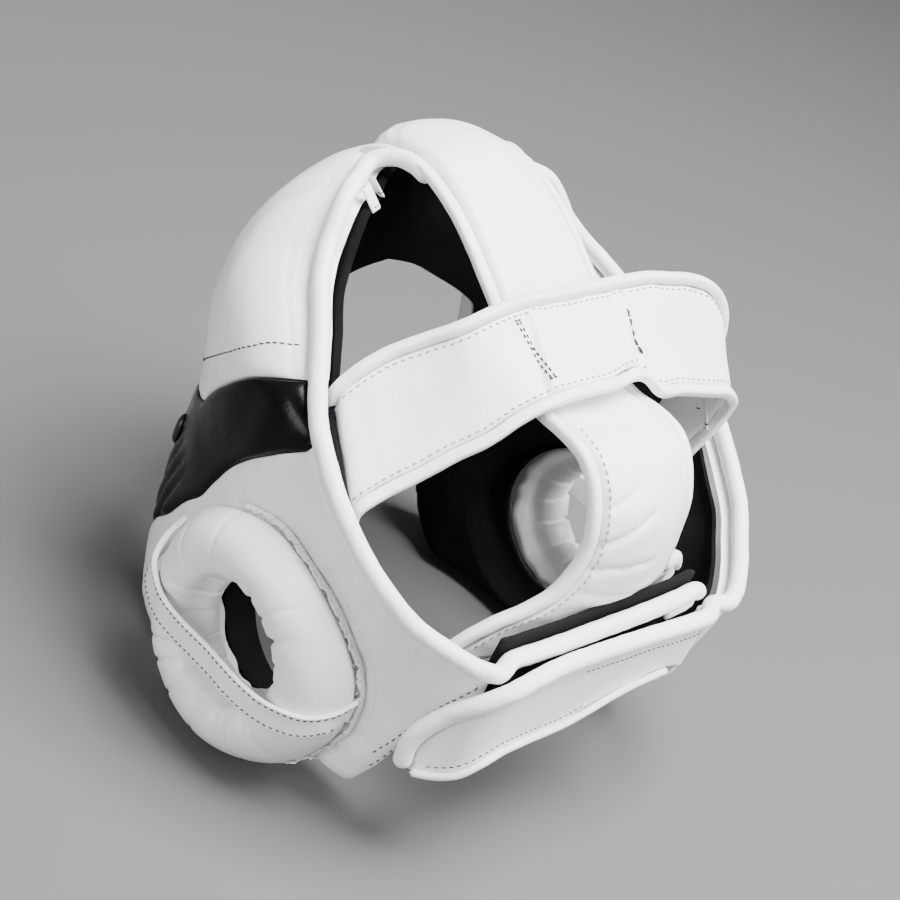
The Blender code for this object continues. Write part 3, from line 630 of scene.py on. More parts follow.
def side_relief(angle, height):
    """A crease up to the rim behind the ear, and puckers round the ear ring."""
    crease_at = 104.6 + (height - 93.2) * 2.7 / 12.7
    crease = np.exp(-((angle - crease_at) / 0.4) ** 2) * ease((height - 89) / 4)
    lip = np.exp(-((angle - crease_at - 1.1) / 0.8) ** 2) * ease((height - 89) / 4)
    back = CENTRE_BACK - outer_radius(angle, height) * np.cos(np.radians(angle))
    away = np.hypot(back - EARS[1][1], height - EARS[1][2])
    turn = np.arctan2(height - EARS[1][2], back - EARS[1][1])
    pull = np.exp(-np.maximum(0, away - 47) / 7) * ripple(turn * 11)
    sink = -1.2 * np.exp(-((away - 47) / 5) ** 2)
    return -0.9 * crease + 0.35 * lip + 0.6 * pull + sink * ease((140 - angle) / 10)


def side_high(angle):
    return np.where(np.abs(angle) > TEMPLE_REAR, panel_top(angle), temple_bottom(angle) - HALF_SEAM)


wall_panel("forehead_panel", 1, -FOREHEAD_END, FOREHEAD_END, forehead_low, panel_top, WHITE_LEATHER,
           SEAM_EDGE, PLAIN_EDGE, forehead_relief, ends=(1, 1), rim_seam=(26, 90))
for label, side in SIDES:
    wall_panel(f"temple_panel_{label}", side, WALL_FRONT, TEMPLE_REAR,
               lambda angle: np.maximum(temple_bottom(angle) + HALF_SEAM, hem_height(angle)),
               lambda angle: np.minimum(temple_top(angle) - HALF_SEAM, panel_top(angle)),
               BLACK_LEATHER, SEAM_EDGE, SEAM_EDGE, temple_relief, ends=(2, 0.6), puckering=0.05)
    wall_panel(f"side_panel_{label}", side, CHEEK_FRONT, WALL_REAR, hem_height, side_high,
               WHITE_LEATHER, HEM_EDGE, (0.9, 3), side_relief, ends=(2, 2), hole=EARS[side], rim_seam=(89, 141))
print("panels made:", len(surfaces))

# %% [markdown]
# ### The lining
# Inside, a thin black cloth covers the foam. It is a sheet between two close grids, loose enough to fall in faint
# folds, with a round hole for each ear. The foam bulges at the cheeks, and round an ear the cloth dips outward to
# where the ring is sewn on. The dip is a slow blend from the cloth's own place to a set depth in the wall.

# %% The lining
LINING_COLUMNS, LINING_ROWS, LINING_HOLE_RADIUS = 440, 110, 32.4
EAR_DIP, EAR_DIP_REACH, CHEEK_BULGE = 15, 5.5, 10

lining_angles = np.linspace(-WALL_REAR, WALL_REAR, LINING_COLUMNS)[:, None]
lining_low = hem_height(lining_angles) + LINING_CLEARANCE
lining_heights = lining_low + (panel_top(lining_angles) - lining_low) * spacing(LINING_ROWS)[None, :]
wall_outside = outer_radius(lining_angles, lining_heights)
face = inner_radius(lining_angles, lining_heights) - LINING_CLEARANCE
face = np.minimum(face, wall_outside - 5 - LEAST_WALL - LINING_CLEARANCE)
cheek = ease((lining_heights - lining_low + 2) / 8) * ease((62 - lining_heights) / 40)
cheek = cheek * ease((np.abs(lining_angles) - 42) / 10) * ease((118 - np.abs(lining_angles)) / 22)
face = face - CHEEK_BULGE * cheek
for side, ear_back, ear_height, ear_radius in EARS.values():
    spots = form_point(lining_angles, face, lining_heights)
    away = np.hypot(spots[..., 1] - ear_back, spots[..., 2] - ear_height)
    dip = ease((ear_radius - 0.9 - away) / EAR_DIP_REACH) * (lining_angles * side > 0)
    face = face + dip * (wall_outside - EAR_DIP - face)
folds = 0.9 * ripple(lining_angles / 7, lining_heights / 24) * ease((lining_heights - lining_low) / 12)
face = face - np.maximum(0, folds)
cloth_outside, cloth_inside = (form_point(lining_angles, face - deep, lining_heights) for deep in (0, LINING))
skin("lining", cloth_outside, cloth_inside, LINING_CLOTH, "lining",
     [(*ear[:3], LINING_HOLE_RADIUS) for ear in EARS.values()])
print("points of the lining:", 2 * face.size)

# %% [markdown]
# ## The ear rings
# An ear ring is a leather tube stuffed with foam and sewn into the wall. The leather is gathered where the tube turns
# into its hole, which gives a scalloped edge and short creases that run out from it. A few deeper pleats take up the
# slack low at the front. The ring is a closed outline of its cross section, carried round the ear's axis.

# %% The outline of a ring's section
EAR_HOLE_RADIUS, EAR_NECK_RADIUS, EAR_RING_RADIUS = 19.5, 38, 46.3
EAR_RING_RISE, EAR_RING_SEAT, EAR_BELL_RADIUS = 17, 1.5, 31
THROUGH = PADDING + LINING


def curve(rows, station, at):
    """A smooth line through rows of values, read at stations along it."""
    rows, station = np.asarray(rows, float), np.asarray(station, float)
    slope = np.diff(rows, axis=0) / np.diff(station)[:, None]
    bend = np.empty_like(rows)
    step = np.diff(station)[:, None]
    bend[1:-1] = (slope[:-1] * step[1:] + slope[1:] * step[:-1]) / (step[1:] + step[:-1])
    bend[0], bend[-1] = slope[0], slope[-1]
    i = np.clip(np.searchsorted(station, at, side="right") - 1, 0, len(station) - 2)
    width = step[i]
    t = ((at - station[i]) / step[i, 0])[:, None]
    return (rows[i] * (1 + 2 * t) * (1 - t) ** 2 + width * bend[i] * t * (1 - t) ** 2
            + rows[i + 1] * t * t * (3 - 2 * t) + width * bend[i + 1] * t * t * (t - 1))


RING_OUTLINE = np.array((
    # reach from the axis, rise from the wall
    (EAR_HOLE_RADIUS + 0.8, -0.10 * THROUGH),
    (EAR_HOLE_RADIUS, 0.08 * THROUGH),
    (EAR_HOLE_RADIUS + 0.05 * EAR_RING_RADIUS, 0.38 * EAR_RING_RISE),
    (EAR_HOLE_RADIUS + 0.12 * EAR_RING_RADIUS, 0.82 * EAR_RING_RISE),
    (0.69 * EAR_RING_RADIUS, EAR_RING_RISE),
    (0.84 * EAR_RING_RADIUS, 0.9 * EAR_RING_RISE),
    (0.95 * EAR_RING_RADIUS, 0.62 * EAR_RING_RISE),
    (EAR_RING_RADIUS, 0.3 * EAR_RING_RISE),
    (0.96 * EAR_RING_RADIUS, EAR_RING_SEAT),
    (EAR_NECK_RADIUS, EAR_RING_SEAT),
    (EAR_NECK_RADIUS, -0.20 * THROUGH),
    (EAR_NECK_RADIUS - 1.0, -0.34 * THROUGH),
    (EAR_NECK_RADIUS - 5.0, -0.42 * THROUGH),
    (EAR_BELL_RADIUS + 1.6, -0.45 * THROUGH),
    (EAR_BELL_RADIUS + 1.0, -0.56 * THROUGH),
    (EAR_BELL_RADIUS - 0.6, -0.58 * THROUGH),
    (EAR_BELL_RADIUS - 2.2, -0.48 * THROUGH),
    (EAR_BELL_RADIUS - 3.6, -0.34 * THROUGH),
    (EAR_HOLE_RADIUS + 2.6, -0.20 * THROUGH),
))
wrapped = np.concatenate([RING_OUTLINE[-3:], RING_OUTLINE, RING_OUTLINE[:3]])
wrapped_station = stations(wrapped)
RING_COLUMNS, RING_ROWS, FLOOR_GAP = 260, 110, 0.7
one_loop = np.linspace(wrapped_station[3], wrapped_station[3 + len(RING_OUTLINE)], RING_ROWS + 1)[:-1]
outline = curve(wrapped, wrapped_station, one_loop)


def wall_across(back, height):
    """How far from the middle plane the padding's outside lies, beside the ear."""
    near, far = np.full(np.shape(back), 45.0), np.full(np.shape(back), 140.0)
    for _ in range(24):
        angle = (near + far) / 2
        ahead = CENTRE_BACK - outer_radius(angle, height) * np.cos(np.radians(angle)) < back
        near, far = np.where(ahead, angle, near), np.where(ahead, far, angle)
    return outer_radius(near, height) * np.sin(np.radians(near))


PLEATS = (
    # turn in degrees, width in degrees, depth in mm
    (172, 2.0, 1.8), (184, 2.2, 2.6), (195, 1.8, 2.2), (207, 2.4, 2.8), (219, 2.0, 2.2), (232, 2.2, 1.8),
    (250, 2.0, 1.2), (272, 2.0, 0.9), (300, 2.2, 0.8), (60, 1.8, 0.5), (120, 2.0, 0.8), (150, 2.0, 1.0),
)
HOLE_CREASES = (
    # turn in degrees, width in degrees, depth in mm, how far it runs from the hole in mm
    (6, 3.2, 2.2, 9), (24, 3.0, 1.8, 7), (43, 3.4, 2.4, 10), (62, 2.8, 1.6, 7), (80, 3.2, 2.2, 9), (99, 3.0, 1.8, 8),
    (121, 3.4, 2.0, 7), (146, 3.4, 1.6, 7), (171, 3.2, 2.0, 8), (196, 3.2, 1.8, 8), (222, 3.4, 2.2, 9),
    (247, 3.0, 1.8, 8), (270, 3.2, 2.2, 9), (292, 3.0, 1.8, 8), (320, 4.5, 4.2, 15), (343, 3.0, 2.0, 8),
)


def ring_point(side, turn, reach, rise):
    """A point of the ring, pushed by its gathers and pleats."""
    _, back, height, _ = EARS[side]
    lip = ease((rise + 6) / 10) * ease((34 - reach) / 15)
    degrees = np.degrees(turn)
    fold_in = 0.5 * lip * ripple(turn * 7 + 0.6)
    for place, width, depth, length in HOLE_CREASES:
        off = (degrees - place + 180) % 360 - 180
        fade = np.exp(-(np.maximum(0, reach - EAR_HOLE_RADIUS) / length) ** 2) * ease((rise + 9) / 9)
        fold_in = fold_in - 1.1 * depth * np.exp(-(off / (0.75 * width)) ** 2) * fade
    inside = ease((-rise - 5) / 8)
    fold_in = fold_in + inside * (0.8 * np.cos(turn * 15 + 1.5 * np.sin(turn * 4)) - 0.2)
    outside_edge = ease((reach - 23) / 9) * ease((rise + 2) / 4) * (1 - 0.5 * ease((reach - 42) / 3))
    pleats = sum(-0.75 * depth * np.exp(-((degrees - place + 0.25 * (reach - 34)) / (0.62 * width)) ** 2)
                 for place, width, depth in PLEATS)
    soft = 0.5 * ripple(turn * 3, reach / 9, rise / 9)
    push = fold_in + outside_edge * pleats + soft
    centre_reach, centre_rise = 31.0, 2.0
    away = np.hypot(reach - centre_reach, rise - centre_rise) + 1e-6
    reach = reach + push * (reach - centre_reach) / away
    rise = rise + push * (rise - centre_rise) / away
    across = wall_across(back + reach * np.cos(turn), height + reach * np.sin(turn)) + rise
    return np.stack([side * across, back + reach * np.cos(turn), height + reach * np.sin(turn)], -1)


for label, side in SIDES:
    turns = (np.arange(RING_COLUMNS) * 2 * np.pi / RING_COLUMNS)[:, None]
    ring = ring_point(side, turns, outline[None, :, 0], outline[None, :, 1])
    ring[..., 2] = np.maximum(ring[..., 2], FLOOR_GAP)
    number = np.arange(ring[..., 0].size).reshape(ring.shape[:2])
    faces = tube_faces(np.concatenate([number, number[:1]]), ends=False)
    name = f"ear_ring_{label}"
    make_piece(name, ring.reshape(-1, 3), faces, WHITE_LEATHER, name)
print("points round a ring:", ring.shape[0], "by", ring.shape[1])

# %% [markdown]
# ## Straps, tabs and the pad behind the head
# A strap is a flat slab with rounded edges: a grid for its outer face, a thickness, and an inner face under it. The
# same maker serves the padded crown strap, the thin cross band and the closure's tabs, because only the table of
# edge points and the thickness differ.

# %% A slab from a grid of points
def grid_normals(grid):
    along, across = np.gradient(grid, axis=0), np.gradient(grid, axis=1)
    normals = np.cross(along, across)
    normals /= np.linalg.norm(normals, axis=-1, keepdims=True) + 1e-9
    middle = tuple(n // 2 for n in grid.shape[:2])
    if np.dot(normals[middle], grid[middle] - FORM_MIDDLE) < 0:
        normals = -normals
    return normals


def edge_distances(grid):
    """Distance of each point from the slab's two ends and from its two sides."""
    along = np.linalg.norm(np.diff(grid, axis=0), axis=-1)
    along = np.concatenate([np.zeros((1, grid.shape[1])), np.cumsum(along, axis=0)])
    across = np.linalg.norm(np.diff(grid, axis=1), axis=-1)
    across = np.concatenate([np.zeros((grid.shape[0], 1)), np.cumsum(across, axis=1)], axis=1)
    return along, across


def slab(name, grid, thick, finish, relief=None, replaces_node=True):
    """thick is one thickness, or one for each row of the grid."""
    thick = np.broadcast_to(np.reshape(thick, (-1, 1)), grid.shape[:2])
    normals = grid_normals(grid)
    along, across = edge_distances(grid)
    to_end = np.minimum(along, along[-1:] - along)
    to_side = np.minimum(across, across[:, -1:] - across)
    half = thick / 2
    drop = np.maximum(edge_fall(to_end, half, half), edge_fall(to_side, half, half))
    push = relief(along, across, to_side) if relief else 0.0 * drop
    outer = grid - normals * (drop - push)[..., None]
    inner = grid - normals * (thick - drop)[..., None]
    return skin(name, outer, inner, finish, name if replaces_node else None)


def strip_grid(rows, crown=0.0, step=1.2):
    """A grid across rows of (one edge, other edge, thickness)."""
    rows = np.array([np.concatenate([one, other, [thick]]) for one, other, thick in rows])
    run = stations((rows[:, :3] + rows[:, 3:6]) / 2)
    dense = curve(rows, run, np.linspace(0, run[-1], int(run[-1] / step) + 2))
    one, other, thick = dense[:, None, :3], dense[:, None, 3:6], dense[:, 6]
    wide = float(np.linalg.norm(rows[:, :3] - rows[:, 3:6], axis=1).max())
    share = spacing(int(wide / step) + 10)[None, :, None]
    grid = one + (other - one) * share
    if np.ndim(crown):
        crown = np.interp(np.linspace(0, run[-1], len(dense)), run, crown)[:, None, None]
    if np.any(crown):
        grid = grid + grid_normals(grid) * (crown * (1 - np.abs(2 * share - 1) ** 2.4))
    return grid, thick


# %% [markdown]
# ### The tables of the straps
# Each row is a place along a strap, read off the guard from above and behind: shares of half its width across, of
# its reach forward, and of its height.

# %% Strap tables
CROWN_HALF_WIDTH, CROWN_THICKNESS = 25.5, 9
BAND_THICKNESS, PAD_THICKNESS, CLOSURE_THICKNESS, CLOSURE_WIDTH = 4, 7, 3.6, 44

CROWN_LINE = (
    # back, height, thickness, drop of the edges in mm
    (-0.800, 0.895, 0.90, 2), (-0.838, 0.920, 1.00, 3), (-0.848, 0.944, 1.10, 4), (-0.838, 0.974, 1.15, 5),
    (-0.785, 1.000, 1.15, 5), (-0.690, 1.015, 1.10, 4), (-0.600, 1.018, 1.00, 2.5), (-0.472, 1.000, 0.90, 1),
    (-0.354, 0.972, 0.85, 0), (-0.236, 0.938, 0.80, 0), (-0.136, 0.906, 0.75, 0), (-0.018, 0.868, 0.60, 0),
    (0.084, 0.836, 0.45, 0), (0.148, 0.812, 0.40, 0),
)
BAND_LINE = (
    # front across, back, height, rear across, back, height
    (0.800, -0.150, 0.650, 0.850, 0.160, 0.500),
    (0.832, -0.150, 0.716, 0.882, 0.160, 0.556), (0.777, -0.146, 0.757, 0.782, 0.167, 0.597),
    (0.680, -0.137, 0.795, 0.680, 0.191, 0.637), (0.583, -0.100, 0.834, 0.583, 0.218, 0.684),
    (0.485, -0.047, 0.881, 0.485, 0.246, 0.725), (0.388, -0.041, 0.904, 0.388, 0.255, 0.767),
    (0.262, -0.055, 0.912, 0.262, 0.273, 0.806), (0.000, -0.047, 0.926, 0.000, 0.282, 0.826),
    (-0.245, -0.045, 0.937, -0.245, 0.264, 0.815), (-0.300, -0.040, 0.941, -0.300, 0.302, 0.796),
    (-0.388, -0.027, 0.948, -0.388, 0.309, 0.796), (-0.485, -0.009, 0.948, -0.485, 0.318, 0.790),
    (-0.583, 0.009, 0.948, -0.583, 0.329, 0.785), (-0.680, 0.045, 0.938, -0.680, 0.325, 0.772),
    (-0.765, 0.082, 0.896, -0.765, 0.315, 0.740),
    (-0.805, 0.111, 0.840, -0.805, 0.291, 0.704), (-0.800, 0.111, 0.780, -0.800, 0.273, 0.650),
    (-0.780, 0.095, 0.715, -0.780, 0.248, 0.585), (-0.772, 0.074, 0.655, -0.772, 0.227, 0.525),
    (-0.788, 0.066, 0.600, -0.785, 0.210, 0.470),
)
PAD_LINE = (
    # half width, back, height, stand-out
    (0.215, 0.080, 0.811, 0.000), (0.220, 0.160, 0.788, 0.000), (0.225, 0.264, 0.784, 0.010),
    (0.232, 0.348, 0.788, 0.028), (0.235, 0.464, 0.776, 0.040), (0.235, 0.543, 0.737, 0.050),
    (0.235, 0.599, 0.684, 0.055), (0.235, 0.627, 0.611, 0.060), (0.265, 0.627, 0.544, 0.062),
    (0.330, 0.606, 0.485, 0.056), (0.440, 0.568, 0.440, 0.078), (0.540, 0.538, 0.390, 0.090),
    (0.600, 0.523, 0.350, 0.095),
)
INNER_TAB_LINE = (
    # across, back, bottom, top (shares of CLOSURE_WIDTH above the rear hem)
    (0.575, 0.697, 0.050, 0.930), (0.535, 0.703, 0.080, 0.940), (0.450, 0.704, 0.140, 0.950),
    (0.300, 0.706, 0.200, 0.970), (0.100, 0.712, 0.240, 1.030), (-0.100, 0.716, 0.280, 1.080),
    (-0.280, 0.716, 0.340, 1.130), (-0.400, 0.702, 0.360, 1.120), (-0.455, 0.690, 0.450, 1.050),
)
OUTER_FLAP_LINE = (
    (-0.575, 0.698, 0.120, 0.930), (-0.535, 0.727, 0.280, 0.940), (-0.466, 0.768, 0.440, 0.950),
    (-0.350, 0.775, 0.520, 0.950), (-0.155, 0.775, 0.460, 0.950), (0.165, 0.778, 0.260, 0.950),
    (0.388, 0.786, 0.240, 0.950), (0.510, 0.796, 0.240, 0.930), (0.592, 0.802, 0.200, 0.890),
    (0.668, 0.782, 0.080, 0.760), (0.722, 0.728, -0.020, 0.550), (0.775, 0.681, -0.040, 0.200),
)

crown_rows = [(body_point(0, back, height) - (CROWN_HALF_WIDTH, 0, sag),
               body_point(0, back, height) + (CROWN_HALF_WIDTH, 0, -sag), thick * CROWN_THICKNESS)
              for back, height, thick, sag in CROWN_LINE]
band_rows = []
for row in BAND_LINE:
    front, rear = body_point(*row[:3]), body_point(*row[3:])
    inset = (rear - front) / np.linalg.norm(rear - front) * 2 * STRAP_BINDING_RADIUS
    band_rows.append((front + inset, rear - inset, BAND_THICKNESS))


def closure_rows(line):
    hem = float(hem_height(WALL_REAR))
    rows = []
    for across, back, bottom, top in line:
        low, high = body_point(across, back, 0), body_point(across, back, 0)
        low[2], high[2] = hem + bottom * CLOSURE_WIDTH, hem + top * CLOSURE_WIDTH
        rows.append((low, high, CLOSURE_THICKNESS))
    return rows


tab_rows, flap_rows = closure_rows(INNER_TAB_LINE), closure_rows(OUTER_FLAP_LINE)


# %% [markdown]
# ### Making the straps
# The crown strap is thick and soft: it wrinkles where it rolls over the forehead. The cross band is thin, and two
# sharp creases mark where it drops over the crown strap's edges. The pad behind the head is quilted by a fan of
# grooves, and its lower end slants. The inner tab of the closure is faced with black pile, which the outer flap's
# hooks hold on to.

# %% Crown strap, cross band, back pad and closure tabs
def crown_relief(along, across, to_side):
    roll = np.exp(-((along - 22) / 9) ** 2) * ripple(along / 1.6, across / 8)
    band_press = -1.5 * ease((along - 112) / 8)
    return 0.5 * roll + 0.3 * ripple(along / 14, across / 10) + band_press * ease(to_side / 3)


band_middles = np.array([(front + rear) / 2 for front, rear, _ in band_rows])
band_run = stations(band_middles)
LEFT_FOLD, RIGHT_FOLD = (float(np.interp(-across, -band_middles[2:14, 0], band_run[2:14])) for across in (26, -26))


def crease(value, place, width):
    return np.exp(-((value - place) / width) ** 2)


def band_relief(along, across, to_side):
    dents = -1.0 * crease(along, LEFT_FOLD, 1.6) - 1.5 * crease(along, RIGHT_FOLD, 1.3)
    ridges = 0.9 * crease(along, LEFT_FOLD + 4, 2.6) + 1.2 * crease(along, RIGHT_FOLD - 4, 2.4)
    slack = 0.35 * ripple(along / 11, across / 13)
    pull = 0.25 * np.exp(-to_side / 3) * ripple(along / 2.4)
    return (dents + ridges) * ease(to_side / 2.5) + slack + pull


grid, thick = strip_grid(crown_rows, np.array([0.3 * CROWN_THICKNESS + row[3] for row in CROWN_LINE]))
slab("crown_strap", grid, thick, WHITE_LEATHER, crown_relief)
band_grid, thick = strip_grid(band_rows)
slab("cross_band", band_grid, thick, WHITE_LEATHER, band_relief)

PAD_ROWS, PAD_COLUMNS, PAD_SLANT = 110, 70, 7
pad_rows = np.array(PAD_LINE)
pad_run = stations(np.stack([np.zeros(len(pad_rows)), FRONT_REACH * (pad_rows[:, 1] + pad_rows[:, 3]),
                             GUARD_HEIGHT * pad_rows[:, 2]], -1))
pad_dense = curve(pad_rows, pad_run, np.linspace(0, pad_run[-1], PAD_ROWS))
share = (2 * spacing(PAD_COLUMNS) - 1)[None, :]
half, back, height, stand = (pad_dense[:, k:k + 1] for k in range(4))
low_end = ease((np.linspace(0, 1, len(pad_dense))[:, None] - 0.72) / 0.28)
pad_grid = np.stack(np.broadcast_arrays(share * half * HALF_WIDTH,
                                        CENTRE_BACK + (back + stand * (1 - share ** 2)) * FRONT_REACH,
                                        height * GUARD_HEIGHT + PAD_SLANT * low_end * (1 - share)), -1)
QUILTING = (
    # one end across, height, other end across, height
    (20.4, 137.0, 2.6, 146.5),
    (22.1, 123.7, -1.0, 137.0),
    (22.8, 114.0, -8.0, 117.5),
    (23.5, 104.0, -16.0, 99.0),
)


def pad_relief(along, across, to_side):
    place = pad_grid
    push = 0.3 * ripple(along / 15, across / 12)
    for one_across, one_height, other_across, other_height in QUILTING:
        way = np.array((other_across - one_across, other_height - one_height))
        long = np.linalg.norm(way)
        way = way / long
        offset = np.stack([place[..., 0] - one_across, place[..., 2] - one_height], -1)
        on, off = offset @ way, offset @ np.array((-way[1], way[0]))
        inside = ease((on + 3) / 4) * ease((long - on) / 6)
        push = push - 1.0 * np.exp(-(off / 1.0) ** 2) * inside + 0.25 * np.exp(-((np.abs(off) - 4) / 2.5) ** 2) * inside
    return push


slab("back_pad", pad_grid, PAD_THICKNESS, WHITE_LEATHER, pad_relief)
tab_grid, thick = strip_grid(tab_rows)
slab("inner_tab", tab_grid, thick, HOOK_CLOTH, lambda along, across, to_side: 0.3 * ripple(along / 12, across / 9))
flap_grid, thick = strip_grid(flap_rows)
slab("outer_flap", flap_grid, thick, WHITE_LEATHER, lambda along, across, to_side: 0.3 * ripple(along / 14, across / 9))
print("length of the cross band, mm:", round(float(edge_distances(band_grid)[0][-1].mean())))

# %% [markdown]
# ## Piping and tape
# The raw edges are closed with binding: round piping along the rim, and a flat tape folded over the edges of the
# straps. A binding is its cross section carried along a line. It is never quite even, since the thread under it
# pulls at every stitch.

# %% A binding along a line
BINDING_STEP, BINDING_SIDES = 1.1, 22


def binding(name, line, half_width, half_height, finish, squareness=2.0, node=None):
    line = np.asarray(line, float)
    run = stations(line)
    keep = np.concatenate([[True], np.diff(run) > 0.05])
    line, run = line[keep], run[keep]
    at = np.linspace(0, run[-1], int(run[-1] / BINDING_STEP) + 2)
    dense = curve(line, run, at)
    for _ in range(2):
        dense[1:-1] = (dense[:-2] + 2 * dense[1:-1] + dense[2:]) / 4
    way = np.gradient(dense, axis=0)
    way /= np.linalg.norm(way, axis=1, keepdims=True)
    up = dense - FORM_MIDDLE
    up -= way * (up * way).sum(1, keepdims=True)
    up /= np.linalg.norm(up, axis=1, keepdims=True)
    beside = np.cross(way, up)
    turn = (np.arange(BINDING_SIDES) * 2 * np.pi / BINDING_SIDES)[None, :]
    cos, sin = np.cos(turn), np.sin(turn)
    wide = np.sign(cos) * np.abs(cos) ** (2 / squareness)
    tall = np.sign(sin) * np.abs(sin) ** (2 / squareness)
    to_end = np.minimum(at, run[-1] - at)[:, None]
    close = np.sqrt(np.clip(1 - np.clip(1 - to_end / half_height, 0, 1) ** 2, 0.01, 1))
    size = close * (1 + 0.035 * ripple(at[:, None] / 2.3, turn * 2))
    points = (dense[:, None] + beside[:, None] * (wide * half_width * size)[..., None]
              + up[:, None] * (tall * half_height * size)[..., None])
    number = np.arange(points[..., 0].size).reshape(points.shape[:2])
    return make_piece(name, points.reshape(-1, 3), tube_faces(number), finish, node)


def beside(points, away_from, distance):
    """Points moved square to their own line, away from matching points."""
    points, away_from = np.asarray(points, float), np.asarray(away_from, float)
    way = np.gradient(points, axis=0)
    way /= np.linalg.norm(way, axis=1, keepdims=True)
    away = points - away_from
    away -= way * (away * way).sum(1, keepdims=True)
    return points + away / np.linalg.norm(away, axis=1, keepdims=True) * distance


RIM_START = (
    # across, back, height: from the crown strap's side round to the rim
    (26.5, -46.0, 188.5), (27.4, -54.0, 189.6), (29.4, -60.5, 188.8), (32.4, -64.6, 186.6), (36.2, -66.6, 184.0),
)
rim_angles = np.arange(28, WALL_REAR + 0.1, 1.5)
for label, side, rows in (("left", 1, tab_rows), ("right", -1, flap_rows)):
    along_rim = form_point(side * rim_angles, rim_radius(rim_angles), rim_height(rim_angles))
    start = np.array([(side * across, back, height) for across, back, height in RIM_START])
    along_rim = np.concatenate([start, along_rim])
    lows, highs = [low for low, _, _ in rows[1:]], [high for _, high, _ in rows[1:]]
    line = np.concatenate([along_rim, beside(highs, lows, RIM_BINDING_RADIUS + 1.2 * CLEARANCE)])
    if side < 0:
        line = np.concatenate([line, [rows[-1][0] + (2.6, -1.6, 1.5)]])
    binding(f"rim_binding_{label}", line, 3.4, 3.4, WHITE_TAPE,
            node=f"rim_binding_{label}")

step_out = STRAP_BINDING_RADIUS
drop = np.array((0, 0, -0.35 * CROWN_THICKNESS))
right_edge = [crown_rows[0][0]] + [row[0] + drop for row in crown_rows[1:]]
left_edge = [crown_rows[0][1]] + [row[1] + drop for row in crown_rows[1:]]
for label, edge, other in (("left", left_edge, right_edge), ("right", right_edge, left_edge)):
    binding(f"crown_strap_binding_{label}", beside(edge, other, step_out), 2.3, 2.0, WHITE_TAPE, 3.0,
            node=f"crown_strap_binding_{label}")
front, rear = [row[0] for row in band_rows], [row[1] for row in band_rows]
for label, edge, other in (("front", front, rear), ("rear", rear, front)):
    binding(f"cross_band_binding_{label}", beside(edge, other, step_out), 2.2, 2.15, WHITE_TAPE, 3.2,
            node=f"cross_band_binding_{label}")
pad_middle = pad_grid - grid_normals(pad_grid) * PAD_THICKNESS * 0.36
for label, place, nearby, half_width in (("right", 0, 20, 3.2), ("left", -1, -21, 2.4)):
    binding(f"back_pad_binding_{label}", beside(pad_middle[::6, place], pad_middle[::6, nearby], 1.1 * step_out),
            half_width, 2.7, WHITE_TAPE, 2.6, node=f"back_pad_binding_{label}")
flap_low = np.array([low for low, _, _ in flap_rows[3:]])
flap_high = np.array([high for _, high, _ in flap_rows[3:]])
binding("outer_flap_piping", beside(flap_low, flap_high, -0.6) + (0, 1.2, 0), 1.4, 1.4, WHITE_TAPE)
tip = np.array([(-26, 93.6, 87.5), (-36, 93.2, 89.0), (-43, 91.6, 88.4), (-47.5, 89.5, 85.5), (-46.0, 88.5, 81.0),
                (-38, 90.5, 81.5), (-26, 92.5, 82.5)])
binding("inner_tab_tip_tape", tip, 1.9, 1.3, WHITE_TAPE, 2.6)
print("pieces so far:", len(surfaces))

# %% [markdown]
# ## The strips across the ears
# A narrow strip is sewn flat across each ring's opening. Two rows of small dark stitches follow its edges, and the
# folded upper edge stands up as a light bead.

# %% Ear strips
STRIP_WIDTH, STRIP_DROP, STRIP_THICKNESS, STRIP_SLOPE = 10.5, 5.5, 1.6, math.radians(-1)
STRIP_PATH = (
    # along, rise (shares of the ring's radius and of its rise), climb in mm
    (-1.04, 0.25, 15.0), (-1.03, 0.62, 9.0), (-0.92, 1.00, 3.0), (-0.74, 1.14, 0.5), (0.00, 1.12, 0.0),
    (0.70, 1.12, 0.0), (0.88, 1.00, 1.5), (0.99, 0.66, 5.0), (1.02, 0.22, 10.0),
)


def ear_strip_rows(side):
    _, centre_back, centre_height, _ = EARS[side]
    rows = []
    for along, rise, climb in STRIP_PATH:
        reach = along * EAR_RING_RADIUS
        out = float(wall_across(np.array(centre_back + reach), np.array(centre_height))) + rise * EAR_RING_RISE
        edges = []
        for half in (-0.5, 0.5):
            back = centre_back + reach * math.cos(STRIP_SLOPE) - half * STRIP_WIDTH * math.sin(STRIP_SLOPE)
            height = centre_height + reach * math.sin(STRIP_SLOPE) + half * STRIP_WIDTH * math.cos(STRIP_SLOPE)
            edges.append(np.array((side * out, back + STRIP_DROP * math.sin(STRIP_SLOPE),
                                   height + climb - STRIP_DROP * math.cos(STRIP_SLOPE))))
        rows.append((edges[0], edges[1], STRIP_THICKNESS))
    return rows


def inset_line(grid, inset, from_last=False):
    """A line on a grid at a distance in from one of its sides."""
    _, across = edge_distances(grid)
    line = []
    for row, run in zip(grid, across):
        at = run[-1] - inset if from_last else inset
        line.append([np.interp(at, run, row[:, k]) for k in range(3)])
    return np.array(line)


for label, side in SIDES:
    grid, thick = strip_grid(ear_strip_rows(side), step=0.7)
    name = f"ear_strip_{label}"
    slab(name, grid, thick, WHITE_LEATHER, lambda along, across, to_side: 0.22 * ripple(along / 3, across / 4))
    binding(f"{name}_bead", inset_line(grid, 0.5, True), 0.5, 0.65, WHITE_TAPE)
    for row, from_last in (("lower", False), ("upper", True)):
        stitch(f"{name}_stitches_{row}", name, inset_line(grid, 1.7, from_last)[3:-3], GREY_THREAD, 1.5, 0.9, 0.27,
               outward=(side, 0, 0))

